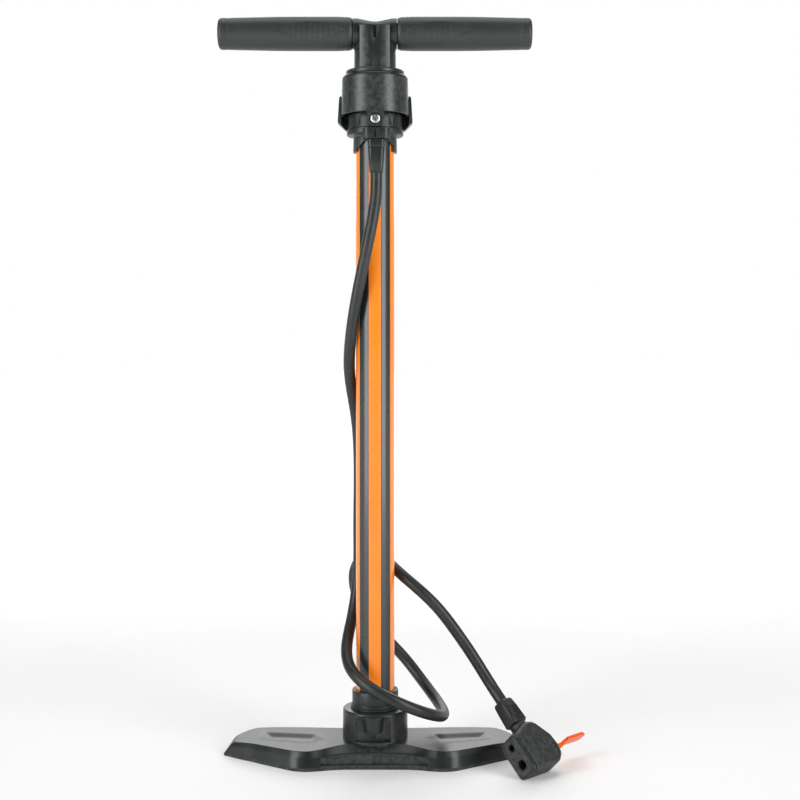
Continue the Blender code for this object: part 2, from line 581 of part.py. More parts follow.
def smooth_through(points, spacing):
    """Evenly spaced points on a natural cubic spline through the given ones."""
    count = len(points)
    steps = [sqrt((b - a).length) for a, b in zip(points, points[1:])]
    upper = [0.0] * count
    bends = [Vector((0, 0, 0)) for _ in points]
    for i in range(1, count - 1):
        before, after = steps[i - 1], steps[i]
        pull = 6 * ((points[i + 1] - points[i]) / after - (points[i] - points[i - 1]) / before)
        share = 2 * (before + after) - before * upper[i - 1]
        upper[i] = after / share
        bends[i] = (pull - before * bends[i - 1]) / share
    for i in range(count - 2, 0, -1):
        bends[i] = bends[i] - upper[i] * bends[i + 1]
    fine = []
    for i, step in enumerate(steps):
        slope = (points[i + 1] - points[i]) / step - step * (2 * bends[i] + bends[i + 1]) / 6
        for part in range(20):
            x = step * part / 20
            twist = (bends[i + 1] - bends[i]) / (6 * step)
            fine.append(points[i] + slope * x + bends[i] / 2 * x * x + twist * x**3)
    fine.append(points[-1])
    lengths = [0.0]
    for a, b in zip(fine, fine[1:]):
        lengths.append(lengths[-1] + (b - a).length)
    wanted = round(lengths[-1] / spacing)
    even = []
    at_piece = 0
    for i in range(wanted + 1):
        target = lengths[-1] * i / wanted
        while at_piece < len(fine) - 2 and lengths[at_piece + 1] < target:
            at_piece += 1
        t = (target - lengths[at_piece]) / (lengths[at_piece + 1] - lengths[at_piece])
        even.append(fine[at_piece].lerp(fine[at_piece + 1], t))
    return even


def make_hose(finishes):
    """The strain relief and barb at the cap, and the hose as a round tube along its route."""
    x, y = HOSE_START.x, HOSE_START.y
    # Flange and tapered body of the strain relief, one above the other
    loops = []
    sizes = (
        (12.2, 12.2, 535.2), (13.6, 13.2, 546), (15.0, 14.0, 557.2), (15.6, 14.4, 557.6), (15.6, 14.4, 564.6),
    )
    for width, depth, z in sizes:
        outline = rounded_rectangle(width * MM, depth * MM, 3.2 * MM, 3, (x, y))
        loops.append([(px, py, z * MM) for px, py in outline])
    relief = solid("hose_strain_relief", lofted(loops), finishes["plastic"])
    cut(relief, rod(3.3 * MM, 546 * MM, 570 * MM, 14), at(x, y, 0))
    solid("hose_barb", tube(2.9 * MM, 1.5 * MM, 546.4 * MM, 571.5 * MM, 14), finishes["brass"], at(x, y, 0))

    head = head_frame()
    hose_end = head @ Vector((0, STUB_END + FERRULE_LENGTH + GAP, -HOSE_BEHIND_FACE))
    before_end = hose_end + head.to_3x3() @ Vector((0, 18 * MM, 0))
    route = [Vector(point) * MM for point in HOSE_ROUTE] + [before_end, hose_end]
    curve = bpy.data.curves.new("hose", "CURVE")
    curve.dimensions = "3D"
    curve.bevel_depth = HOSE_R
    curve.bevel_resolution = 2
    curve.use_fill_caps = True
    even = smooth_through(route, HOSE_SPACING)
    spline = curve.splines.new("POLY")
    spline.points.add(len(even) - 1)
    for point, place in zip(spline.points, even):
        point.co = (*place, 1)
    curve.materials.append(finishes["rubber"])
    hose = bpy.data.objects.new("hose", curve)
    bpy.context.scene.collection.objects.link(hose)


def head_side(inset):
    """The body's side view as (y, depth) pairs, drawn in by inset; its front stays in one plane."""
    points = [Vector(point) for point in HEAD_PROFILE]
    drawn = []
    for i, point in enumerate(points):
        if i in (0, len(points) - 1):
            inward = Vector((-1 if point.x > 0 else 1, 0))
        else:
            along = (points[i + 1] - points[i - 1]).normalized()
            inward = Vector((along.y, -along.x)) * -1
        drawn.append(point + inward * inset)
    return drawn


def head_outline(shrink, depth):
    """The outline of the face, seen from the front."""
    top, bottom = HEAD_PROFILE[0][0], HEAD_PROFILE[-1][0]
    across_it = [(-x, inset) for x, inset in HEAD_EDGE[::-1]] + list(HEAD_EDGE)
    upper = [(x, top - inset) for x, inset in across_it]
    lower = [(x, bottom + inset) for x, inset in across_it[::-1]]
    loop = []
    for x, y in upper + lower:
        out = Vector((x, y + 1.0))
        out.normalize()
        loop.append(((x - shrink * out.x) * MM, (y - shrink * out.y) * MM, depth))
    return loop


def make_head(finishes):
    plastic, rubber, brass = finishes["plastic"], finishes["rubber"], finishes["brass"]
    head = head_frame()
    loops = []
    for x, inset in [(-x, inset) for x, inset in HEAD_EDGE[::-1]] + list(HEAD_EDGE):
        loops.append([(x * MM, y * MM, -depth * MM) for y, depth in head_side(inset)])
    body = solid("head_body", lofted(loops), plastic, head)
    stub = across(head @ Vector((0, 0, -HOSE_BEHIND_FACE)), head.to_3x3() @ Vector((0, 1, 0)))
    join(body, rod(7.8 * MM, 14 * MM, STUB_END, 20, 0.6 * MM), stub)
    # Chamber for the grommets and the plunger, the drilling from the hose to it, and the lever's slot
    cut(body, prism(rounded_rectangle(15 * MM, 30.4 * MM, 6 * MM, 4, CHAMBER_AT), -22 * MM, 5 * MM), head)
    cut(body, rod(2.1 * MM, 8 * MM, 40 * MM, 12), stub)
    cut(body, rod(2.0 * MM, -26 * MM, -20 * MM, 12), head @ at(0, 10 * MM, 0))
    cut(body, box((-3.4 * MM, -11.5 * MM, -60 * MM), (3.4 * MM, 4 * MM, -32 * MM)), head)
    cut(body, box((-3.4 * MM, 0, -60 * MM), (3.4 * MM, 30 * MM, -33.9 * MM)), head)
    cut(body, rod(3.0 * MM, -34 * MM, -21 * MM, 12), head @ at(0, LEVER_Y, 0))
    pin = across(head @ Vector((0, LEVER_Y, LEVER_Z)), head.to_3x3() @ Vector((1, 0, 0)))
    cut(body, rod(1.8 * MM, -14 * MM, 14 * MM, 12), pin)

    plate = solid("head_face_plate", lofted([
        head_outline(0.2, -4.0 * MM), head_outline(0.2, -1.6 * MM), head_outline(1.5, 0),
    ]), plastic, head)
    holes = (("small", 8.6 * MM, 3.0 * MM, 5.8 * MM), ("large", -8.6 * MM, 4.2 * MM, 6.4 * MM))
    for name, y, hole_r, seal_r in holes:
        cut(plate, rod(hole_r, -10 * MM, 5 * MM, 20), head @ at(0, y, 0))
        grommet = tube(seal_r, hole_r + 0.15 * MM, -13.5 * MM, -4.3 * MM, 20, 0.3 * MM)
        solid(f"{name}_valve_grommet", grommet, rubber, head @ at(0, y, 0))

    disc = prism(rounded_rectangle(14.2 * MM, 29.6 * MM, 5.6 * MM, 4, CHAMBER_AT), -19.4 * MM, -16.0 * MM)
    plunger = solid("head_plunger", disc, brass, head)
    join(plunger, rod(2.7 * MM, LEVER_Z + 3.7 * MM, -18 * MM, 12), head @ at(0, LEVER_Y, 0))
    for y, hole_r in ((8.6 * MM, 2.6 * MM), (-8.6 * MM, 3.6 * MM)):
        cut(plunger, rod(hole_r, -17.8 * MM, -10 * MM, 14), head @ at(0, y, 0))

    solid("head_barb", tube(1.8 * MM, 0.9 * MM, 16 * MM, STUB_END + 12 * MM, 12), brass, stub)
    low = STUB_END + GAP
    loops = []
    sizes = ((16.4, 14.2, 0), (18.0, 15.8, 1.6), (17.4, 15.2, 10), (15.6, 13.6, 23.4), (14.0, 12.4, 24.7))
    for width, depth, y in sizes:
        outline = rounded_rectangle(width * MM, depth * MM, 3.2 * MM, 3)
        loops.append([(px, py, low + y * MM) for px, py in outline])
    ferrule = solid("hose_ferrule", lofted(loops), plastic, stub)
    cut(ferrule, rod(2.1 * MM, 0, low + 13 * MM, 12), stub)
    make_lever(finishes, head, pin)


def make_lever(finishes, head, pin):
    """The lever lies along the valve axis when open; its cam pushes the plunger as it stands up."""
    side = (
        (1.8, 3.4), (-1.8, 3.4), (-3.6, 1.6), (-3.6, -4.0), (-2.4, -10.0), (-0.6, -19.0), (2.6, -26.6),
        (2.9, -30.0), (5.4, -30.0), (5.4, -25.6), (3.2, -20.0), (3.2, -8.0), (3.6, -5.0), (5.2, -2.6),
        (5.2, 0.3), (3.6, 2.6),
    )
    # Drawn in the head's Y and Z, with the pin at the middle
    loops = [[(x * MM, y * MM, z * MM) for y, z in side] for x in (-2.9, 2.9)]
    frame = head @ at(0, LEVER_Y, LEVER_Z)
    lever = solid("lever", lofted(loops), finishes["lever_orange"], frame)
    right = ((4.6, -28.2), (5.5, -30.2), (5.5, -50.0), (3.2, -55.0))
    paddle = (*right, *((-x, z) for x, z in right[::-1]))
    loops = [[(x * MM, y * MM, z * MM) for x, z in paddle] for y in (3.0, 5.6)]
    join(lever, lofted(loops), frame)
    cut(lever, rod(1.8 * MM, -14 * MM, 14 * MM, 12), pin)
    solid("lever_pin", rod(1.5 * MM, -9.6 * MM, 9.6 * MM, 12), finishes["steel"], pin)


def main():
    clear_scene()
    finishes = {
        "plastic": finish("black_plastic", (0.020, 0.024, 0.024), 0.42),
        "collar": finish("collar_plastic", (0.018, 0.022, 0.022), 0.5),
        "grip": finish("grip_rubber", (0.022, 0.026, 0.026), 0.6),
        "orange_lacquer": finish("orange_lacquer", (0.95, 0.28, 0.02), 0.25),
        "orange": finish("pointer_orange", (0.90, 0.12, 0.01), 0.5),
        "lever_orange": finish("lever_orange", (0.92, 0.12, 0.005), 0.45),
        "rubber": finish("black_rubber", (0.015, 0.016, 0.016), 0.65),
        "steel": finish("steel", (0.55, 0.56, 0.57), 0.35, 1.0),
        "chrome": finish("chrome", (0.75, 0.76, 0.78), 0.12, 1.0),
        "brass": finish("brass", (0.70, 0.50, 0.22), 0.35, 1.0),
        "white": finish("dial_white", (0.85, 0.85, 0.83), 0.6),
        "lens": finish("clear_lens", (0.9, 0.92, 0.93), 0.05),
    }
    make_base(finishes)
    make_barrel(finishes)
    make_cap(finishes)
    make_gauge(finishes)
    make_piston(finishes)
    make_handle(finishes)
    make_hose(finishes)
    make_head(finishes)


main()
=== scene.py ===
"""Looks of the floor bike pump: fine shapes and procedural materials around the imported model.

Metres, +Z up. Profiles and outlines are written in millimetres, and scaled where they are used.
"""

from math import atan2, cos, pi, radians, sin, sqrt, tau

import bmesh
import bpy
from mathutils import Matrix, Vector


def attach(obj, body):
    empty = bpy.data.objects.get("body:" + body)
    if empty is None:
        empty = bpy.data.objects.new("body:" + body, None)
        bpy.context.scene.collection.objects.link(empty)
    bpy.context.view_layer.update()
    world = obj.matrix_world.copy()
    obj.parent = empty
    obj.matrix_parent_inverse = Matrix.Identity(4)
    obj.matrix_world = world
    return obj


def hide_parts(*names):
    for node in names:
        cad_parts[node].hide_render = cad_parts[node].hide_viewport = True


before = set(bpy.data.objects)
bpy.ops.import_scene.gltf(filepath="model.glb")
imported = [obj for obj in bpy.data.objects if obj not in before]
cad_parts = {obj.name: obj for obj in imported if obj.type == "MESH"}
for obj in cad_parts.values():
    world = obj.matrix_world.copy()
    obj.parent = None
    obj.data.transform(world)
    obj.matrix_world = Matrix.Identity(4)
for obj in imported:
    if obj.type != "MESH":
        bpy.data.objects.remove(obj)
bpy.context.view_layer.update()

MM = 0.001
GAP = 0.3 * MM
MERGE_DISTANCE = 1e-6
SHARP_FROM = radians(38)

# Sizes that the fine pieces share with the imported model
BARREL_R = 17.65 * MM
DRUM_R = 30.9 * MM
SCREW_X = 0.8 * MM
SCREW_Z = 583 * MM
GAUGE_TILT = radians(20)
GAUGE_AT = Vector((0, 33.4, 600)) * MM
BEZEL_R = 25.9 * MM
HANDLE_Z = 664.6 * MM
HANDLE_HALF = 143 * MM
HANDLE_PIN_Z = 641 * MM
PIN_HOLE_R = 2.1 * MM
PLUG_X = -1.5 * MM
PLUG_Z = 26.8 * MM
DIAL_FACE = -3.4
POINTER_AT_ZERO_DEG = 135
HOSE_R = 5.25 * MM
HOSE_START = Vector((1.6, -26.5, 534.8)) * MM
HOSE_ROUTE = (
    (1.6, -26.5, 534.8), (1.4, -26.8, 517.3), (-1.0, -28.6, 497.4), (-5.9, -28.5, 472.1),
    (-17, -18.4, 419.5), (-23.8, 0.0, 365.3), (-21.6, 10.6, 336.9), (-17.6, 19.6, 309.2),
    (-15.9, 27.3, 278.8), (-15.9, 33.6, 244.2), (-16.4, 36.8, 206.6), (-16.4, 35.2, 174.3),
    (-18.7, 29.3, 145.6), (-22.7, 17.4, 122.2), (-26.2, -0.2, 103.3), (-23.1, -19.6, 89.3),
    (-13.4, -33.6, 80.1), (0.5, -42.4, 72.3), (18, -45.3, 63.9), (36, -40.4, 55.1),
    (51.2, -27.7, 47), (60.8, -8.1, 40.6), (63.3, 14.9, 37.9), (60, 35.6, 40),
    (52.8, 53.4, 46.3), (39.5, 71, 60.2), (22.1, 81.2, 79.3), (-9.1, 85.3, 113.1),
    (-20.9, 80.8, 140.3), (-21.7, 70.6, 159.2), (-15.7, 57.2, 172.6), (-3.7, 40.7, 179.7),
    (9.6, 25.1, 177.8), (22.5, 11, 168.8), (38.9, 1.3, 156.2), (57.9, -2.1, 138.2),
    (75, -2, 116), (90.3, -5, 94),
)
HOSE_STEP = 4 * MM
HOSE_LEAD_IN = 18 * MM
HOSE_BEHIND_FACE = 25 * MM
STUB_END = 27.5 * MM
FERRULE_LENGTH = 25 * MM
HEAD_AT = Vector((125, -63.5, 19.4)) * MM
VALVE_WAY = Vector((-0.70, -0.714, 0.0))
HOSE_WAY = Vector((0.51, -0.50, -0.70))
LEVER_Y = -4.5 * MM
LEVER_Z = -40 * MM
LEVER_PIN_BORE_R = 1.8
HEAD_PROFILE = (
    (17.5, 4.3), (19.2, 8), (23.8, 19.5), (24.9, 23), (25, 28.5), (24, 33), (21.4, 36.6),
    (7.2, 46), (-4.6, 47.4), (-13.2, 45), (-18.2, 39), (-19.5, 32), (-19.5, 4.3),
)
HEAD_FILLETS = (0, 3, 4, 3, 4, 4, 4, 8, 8, 6, 5, 4, 0)

# Studio
CAMERA_AT = (0.025, -1.3, 0.3889)
CAMERA_PITCH = 0.01722
CAMERA_LENS = 63.747
CAMERA_SHIFT = (-0.003, -0.05)
SENSOR_WIDTH = 36
FLOOR_RADIUS = 14
LAMPS_AIM_AT = Vector((0, 0, 0.34))


# ---- shapes


def at(x, y, z):
    return Matrix.Translation((x, y, z))


def axes_at(place, x_way, y_way, z_way):
    turn = Matrix((x_way, y_way, z_way)).transposed()
    return Matrix.Translation(place) @ turn.to_4x4()


def across(place, z_way):
    """A frame at place whose Z runs along z_way, for round things whose turn doesn't matter."""
    return Matrix.Translation(place) @ Vector(z_way).to_track_quat("Z", "Y").to_matrix().to_4x4()


FRONT = axes_at((0, 0, 0), (1, 0, 0), (0, 0, 1), (0, -1, 0))
BACK = axes_at((0, 0, 0), (-1, 0, 0), (0, 0, 1), (0, 1, 0))
SIDEWAYS = across((0, 0, HANDLE_Z), (1, 0, 0))


def gauge_frame():
    """Z points out of the dial, Y up it, and X to the right of a person who reads it."""
    out = Vector((0, cos(GAUGE_TILT), sin(GAUGE_TILT)))
    up = Vector((0, -sin(GAUGE_TILT), cos(GAUGE_TILT)))
    return axes_at(GAUGE_AT, up.cross(out), up, out)


def head_frame():
    """Z points out of the valve holes, Y from the head towards the hose, and X across both."""
    z_way = VALVE_WAY.normalized()
    y_way = (-HOSE_WAY + HOSE_WAY.dot(z_way) * z_way).normalized()
    return axes_at(HEAD_AT, y_way.cross(z_way), y_way, z_way)


GAUGE = gauge_frame()
HEAD = head_frame()
STUB = across(HEAD @ Vector((0, 0, -HOSE_BEHIND_FACE)), HEAD.to_3x3() @ Vector((0, 1, 0)))
LEVER = HEAD @ at(0, LEVER_Y, LEVER_Z)
LEVER_PIN = across(LEVER.translation, HEAD.to_3x3() @ Vector((1, 0, 0)))


def turned(profile, steps=96):
    """A round shape about Z from a closed profile of (radius, height) pairs; radius 0 is on the axis."""
    bm = bmesh.new()
    ring = [bm.verts.new((radius, 0, height)) for radius, height in profile]
    edges = []
    for here, after in zip(ring, ring[1:] + ring[:1]):
        if here.co.x > 0 or after.co.x > 0:
            edges.append(bm.edges.new((here, after)))
    bmesh.ops.spin(
        bm, geom=ring + edges, axis=(0, 0, 1), cent=(0, 0, 0), angle=tau, steps=steps, use_merge=True
    )
    bmesh.ops.remove_doubles(bm, verts=bm.verts, dist=MERGE_DISTANCE)
    return bm


def turned_mm(profile, steps=96):
    return turned(scaled(profile), steps)


def rod(radius, low, high, steps=64):
    return turned(((0, low), (radius, low), (radius, high), (0, high)), steps)


def rod_mm(radius, low, high, steps=64):
    return rod(radius * MM, low * MM, high * MM, steps)


def lofted(loops):
    """A closed shape through loops of equally many points; its first and last loops are its ends."""
    bm = bmesh.new()
    rings = [[bm.verts.new(point) for point in loop] for loop in loops]
    for here, after in zip(rings, rings[1:]):
        for i in range(len(here)):
            bm.faces.new((here[i - 1], here[i], after[i], after[i - 1]))
    bm.faces.new(rings[0][::-1])
    bm.faces.new(rings[-1])
    return bm


def prism(outline, low, high):
    return lofted([[(x, y, height) for x, y in outline] for height in (low, high)])


def prism_mm(outline, low, high):
    return prism(scaled(outline), low * MM, high * MM)


def box(low, high):
    (x0, y0, z0), (x1, y1, z1) = low, high
    return prism([(x0, y0), (x1, y0), (x1, y1), (x0, y1)], z0, z1)


def box_mm(low, high):
    return box(Vector(low) * MM, Vector(high) * MM)


def slab_mm(outline, half_width):
    """An outline of (y, z) pairs carried along X to half_width on either side."""
    return lofted([[Vector((x, y, z)) * MM for y, z in outline] for x in (-half_width, half_width)])


def mirrored(half):
    """A whole outline from its right half, given from one end on the axis side to the other."""
    return (*half, *((-x, y) for x, y in half[::-1]))


def arc(radius, start_deg, end_deg, steps, centre=(0, 0)):
    turns = [radians(start_deg + (end_deg - start_deg) * i / steps) for i in range(steps + 1)]
    return [(centre[0] + radius * cos(turn), centre[1] + radius * sin(turn)) for turn in turns]


def filleted(points, radii, steps=5, closed=True):
    """The outline through points with each corner rounded by its radius; a radius of 0 keeps it sharp."""
    made = []
    count = len(points)
    for i, point in enumerate(points):
        here = Vector(point)
        radius = radii[i] if isinstance(radii, (list, tuple)) else radii
        if radius <= 0 or (not closed and i in (0, count - 1)):
            made.append(tuple(here))
            continue
        before = Vector(points[i - 1]) - here
        after = Vector(points[(i + 1) % count]) - here
        half = before.angle(after) / 2
        reach = min(radius / max(0.05, abs(sin(half) / cos(half))), before.length * 0.48, after.length * 0.48)
        start = here + before.normalized() * reach
        end = here + after.normalized() * reach
        for step in range(steps + 1):
            t = step / steps
            made.append(tuple(start * (1 - t) ** 2 + here * 2 * t * (1 - t) + end * t**2))
    return made


def rounded_rectangle(width, height, radius, corner_steps=6, centre=(0, 0)):
    points = []
    for quarter in range(4):
        sign_x = 1 if quarter in (0, 3) else -1
        sign_y = 1 if quarter < 2 else -1
        for step in range(corner_steps + 1):
            angle = (quarter + step / corner_steps) * pi / 2
            x = centre[0] + sign_x * (width / 2 - radius) + radius * cos(angle)
            y = centre[1] + sign_y * (height / 2 - radius) + radius * sin(angle)
            points.append((x, y))
    return points


def stack_mm(sizes, centre=(0, 0), lift=0):
    """A closed shape through rounded rectangles of (width, depth, height, corner radius)."""
    loops = []
    for width, depth, z, radius in sizes:
        outline = rounded_rectangle(width, depth, radius, 6, centre)
        loops.append([Vector((x, y, lift + z)) * MM for x, y in outline])
    return lofted(loops)


def scaled(points):
    return [tuple(value * MM for value in point) for point in points]


def linked(name, data):
    """A new object of this data, in the scene."""
    made = bpy.data.objects.new(name, data)
    bpy.context.scene.collection.objects.link(made)
    return made


class Shape:
    """A solid that starts from one closed bmesh and is cut, joined and bevelled in world space."""

    def __init__(self, name, bm, place=None):
        self.thing = self.object_of(name, bm, place)

    @staticmethod
    def object_of(name, bm, place):
        if place:
            bmesh.ops.transform(bm, matrix=place, verts=bm.verts)
        bmesh.ops.recalc_face_normals(bm, faces=bm.faces)
        mesh = bpy.data.meshes.new(name)
        bm.to_mesh(mesh)
        bm.free()
        return linked(name, mesh)

    def apply(self):
        graph = bpy.context.evaluated_depsgraph_get()
        old = self.thing.data
        self.thing.data = bpy.data.meshes.new_from_object(self.thing.evaluated_get(graph))
        self.thing.modifiers.clear()
        bpy.data.meshes.remove(old)

    def change(self, operation, bm, place=None):
        tool = self.object_of("tool", bm, place)
        modifier = self.thing.modifiers.new("change", "BOOLEAN")
        modifier.operation = operation
        modifier.solver = "EXACT"
        modifier.object = tool
        self.apply()
        bpy.data.objects.remove(tool)

    def cut(self, bm, place=None):
        self.change("DIFFERENCE", bm, place)

    def join(self, bm, place=None):
        self.change("UNION", bm, place)

    def bevel(self, width, segments=3, angle=35):
        modifier = self.thing.modifiers.new("bevel", "BEVEL")
        modifier.width = width
        modifier.segments = segments
        modifier.limit_method = "ANGLE"
        modifier.angle_limit = radians(angle)
        modifier.use_clamp_overlap = True
        self.apply()

    def done(self, finish, body, slot, *nodes):
        """Gives the finished shape its material and body, and hides the nodes it stands for; its slot is not
        used.
        """
        mesh = self.thing.data
        mesh.shade_smooth()
        mesh.set_sharp_from_angle(angle=SHARP_FROM)
        mesh.materials.clear()
        mesh.materials.append(MATERIALS[finish])
        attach(self.thing, body)
        if nodes:
            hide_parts(*nodes)
        return self.thing


def smooth_through(points, spacing):
    """Points about spacing apart on a natural cubic spline through the given ones."""
    count = len(points)
    steps = [sqrt((b - a).length) for a, b in zip(points, points[1:])]
    upper = [0.0] * count
    bends = [Vector((0, 0, 0)) for _ in points]
    for i in range(1, count - 1):
        before, after = steps[i - 1], steps[i]
        pull = 6 * ((points[i + 1] - points[i]) / after - (points[i] - points[i - 1]) / before)
        share = 2 * (before + after) - before * upper[i - 1]
        upper[i] = after / share
        bends[i] = (pull - before * bends[i - 1]) / share
    for i in range(count - 2, 0, -1):
        bends[i] = bends[i] - upper[i] * bends[i + 1]
    parts = 20
    fine = []
    for i, step in enumerate(steps):
        slope = (points[i + 1] - points[i]) / step - step * (2 * bends[i] + bends[i + 1]) / 6
        for part in range(parts):
            x = step * part / parts
            twist = (bends[i + 1] - bends[i]) / (6 * step)
            fine.append(points[i] + slope * x + bends[i] / 2 * x * x + twist * x**3)
    fine.append(points[-1])
    lengths = [0.0]
    for a, b in zip(fine, fine[1:]):
        lengths.append(lengths[-1] + (b - a).length)
    wanted = round(lengths[-1] / spacing)
    even = []
    at_piece = 0
    for i in range(wanted + 1):
        target = lengths[-1] * i / wanted
        while at_piece < len(fine) - 2 and lengths[at_piece + 1] < target:
            at_piece += 1
        t = (target - lengths[at_piece]) / (lengths[at_piece + 1] - lengths[at_piece])
        even.append(fine[at_piece].lerp(fine[at_piece + 1], t))
    return even


# ---- materials


def linear(red, green, blue):
    """A colour from display values of 0 to 255."""
    parts = []
    for value in (red, green, blue):
        share = value / 255
        parts.append(share / 12.92 if share <= 0.04045 else ((share + 0.055) / 1.055) ** 2.4)
    return (*parts, 1.0)


class Finish:
    """One material's node tree, with short ways to add and link its nodes."""

    def __init__(self, name):
        self.material = bpy.data.materials.new(name)
        self.material.use_nodes = True
        self.tree = self.material.node_tree
        self.shader = self.tree.nodes["Principled BSDF"]
        self.place = self.add("TexCoord").outputs["Object"]

    def add(self, kind, inputs=(), **settings):
        node = self.tree.nodes.new("ShaderNode" + kind)
        for key, value in settings.items():
            setattr(node, key, value)
        for key, value in dict(inputs).items():
            self.feed(node.inputs[key], value)
        return node

    def feed(self, socket, value):
        if isinstance(value, bpy.types.NodeSocket):
            self.tree.links.new(value, socket)
        else:
            socket.default_value = value

    def set(self, **values):
        for key, value in values.items():
            self.feed(self.shader.inputs[key.replace("_", " ")], value)

    def math(self, operation, *values):
        node = self.add("Math", operation=operation)
        for socket, value in zip(node.inputs, values):
            self.feed(socket, value)
        return node.outputs[0]

    def noise(self, size, detail=3, stretch=(1, 1, 1)):
        """A noise whose features are about size metres across."""
        mapped = self.add("Mapping", {"Vector": self.place, "Scale": stretch}).outputs[0]
        inputs = {"Vector": mapped, "Scale": 1 / size, "Detail": detail, "Roughness": 0.55}
        return self.add("TexNoise", inputs).outputs["Fac"]

    def ramp(self, value, low, high, to_low=0.0, to_high=1.0):
        inputs = {"Value": value, "From Min": low, "From Max": high, "To Min": to_low, "To Max": to_high}
        return self.add("MapRange", inputs).outputs["Result"]

    def mix(self, share, first, second):
        node = self.add("Mix", data_type="RGBA")
        self.feed(node.inputs[0], share)
        self.feed(node.inputs[6], first)
        self.feed(node.inputs[7], second)
        return node.outputs[2]

    def edges(self):
        """1 along worn outer edges and 0 elsewhere, broken up by a noise."""
        worn_from, worn_to = 0.545, 0.62
        outer = self.ramp(self.add("NewGeometry").outputs["Pointiness"], worn_from, worn_to)
        return self.math("MULTIPLY", outer, self.ramp(self.noise(4 * MM), 0.35, 0.65))

    def bump(self, height, depth, after=None):
        inputs = {"Height": height, "Distance": depth, "Strength": 1.0}
        if after:
            inputs["Normal"] = after
        return self.add("Bump", inputs).outputs["Normal"]


def moulded(name, dark, light, roughness, grain_depth=0.008 * MM, worn=None):
    """Moulded plastic or rubber: fine spark grain, faint cloudiness, rubbed edges and scuffs.

    Dark and light are display colours, and worn is a linear one.
    """
    f = Finish(name)
    dark, light = linear(*dark), linear(*light)
    cloud = f.ramp(f.noise(14 * MM, 4), 0.3, 0.7)
    colour = f.mix(cloud, dark, light)
    colour = f.mix(f.math("MULTIPLY", f.edges(), 0.5), colour, worn or light)
    grain = f.noise(0.35 * MM, 2)
    scuffs = f.noise(1.2 * MM, 4, (1, 1, 0.12))
    even = f.ramp(cloud, 0, 1, roughness - 0.02, roughness + 0.02)
    rough = f.math("ADD", even, f.ramp(scuffs, 0.6, 0.8, 0, 0.08))
    normal = f.bump(f.noise(9 * MM, 2), 0.015 * MM)
    f.set(Base_Color=colour, Roughness=rough, Normal=f.bump(grain, grain_depth, normal))
    return f.material


def lacquer():
    """The barrel's lacquer: orange with two dark bands either side of its front and of its back."""
    middle_deg, half_width_deg = 34.8, 16.6
    f = Finish("striped_lacquer")
    x, y, _ = f.add("SeparateXYZ", {"Vector": f.place}).outputs
    turn = f.math("DEGREES", f.math("ARCTAN2", f.math("ABSOLUTE", x), f.math("ABSOLUTE", y)))
    dark_band = f.math("COMPARE", turn, middle_deg, half_width_deg)
    cloud = f.noise(30 * MM, 3)
    orange = f.mix(f.ramp(cloud, 0.3, 0.7), linear(250, 132, 16), linear(252, 139, 22))
    charcoal = f.mix(f.ramp(cloud, 0.3, 0.7), linear(30, 40, 42), linear(35, 46, 48))
    rubbed = f.ramp(f.noise(0.7 * MM, 5, (1, 1, 0.02)), 0.66, 0.8)
    paint = f.mix(dark_band, orange, charcoal)
    paint = f.mix(f.math("MULTIPLY", rubbed, 0.08), paint, linear(190, 180, 168))
    scratches = f.ramp(f.noise(0.4 * MM, 4, (1, 1, 0.03)), 0.62, 0.8, 0, 0.16)
    rough = f.math("ADD", f.ramp(f.noise(8 * MM, 4), 0.3, 0.7, 0.27, 0.31), scratches)
    peel = f.bump(f.noise(1.6 * MM, 2), 0.008 * MM, f.bump(dark_band, 0.03 * MM))
    f.set(Base_Color=paint, Roughness=rough, Normal=peel)
    f.set(Coat_Weight=0.35, Coat_Roughness=0.1)
    return f.material


def metal(name, dark, light, roughness, brushed=(1, 1, 0.05)):
    """Metal with brushed or drawn lines along its length and faint smudges."""
    f = Finish(name)
    lines = f.noise(0.25 * MM, 4, brushed)
    smudge = f.ramp(f.noise(7 * MM, 4), 0.35, 0.7)
    f.set(Base_Color=f.mix(smudge, dark, light), Metallic=1.0)
    rough = f.math("ADD", f.ramp(smudge, 0, 1, roughness, roughness + 0.1), f.ramp(lines, 0.4, 0.8, 0, 0.1))
    f.set(Roughness=rough, Normal=f.bump(lines, 0.006 * MM))
    return f.material


def hose_rubber():
    f = Finish("hose_rubber")
    cloud = f.ramp(f.noise(20 * MM, 4), 0.3, 0.7)
    bloom = f.ramp(f.noise(3 * MM, 5), 0.55, 0.8)
    colour = f.mix(cloud, linear(24, 27, 28), linear(38, 42, 42))
    f.set(Base_Color=f.mix(f.math("MULTIPLY", bloom, 0.35), colour, linear(74, 76, 74)))
    fine = f.bump(f.noise(0.3 * MM, 2), 0.006 * MM, f.bump(f.noise(2.5 * MM, 3), 0.01 * MM))
    f.set(Roughness=f.ramp(cloud, 0, 1, 0.36, 0.48), Normal=fine)
    return f.material


def grip_rubber():
    """Soft grip rubber with a fine leathery grain."""
    f = Finish("soft_grip_rubber")
    cloud = f.ramp(f.noise(18 * MM, 4), 0.3, 0.7)
    cell = 0.8 * MM
    cells = f.add("TexVoronoi", {"Vector": f.place, "Scale": 1 / cell}, feature="DISTANCE_TO_EDGE")
    creases = f.ramp(cells.outputs["Distance"], 0.0, 0.12)
    colour = f.mix(cloud, linear(36, 42, 41), linear(43, 49, 47))
    colour = f.mix(f.math("MULTIPLY", f.edges(), 0.4), colour, linear(96, 98, 94))
    grain = f.bump(f.noise(0.35 * MM, 2), 0.008 * MM, f.bump(creases, 0.008 * MM))
    f.set(Base_Color=colour, Roughness=f.ramp(cloud, 0, 1, 0.42, 0.48), Normal=grain)
    return f.material


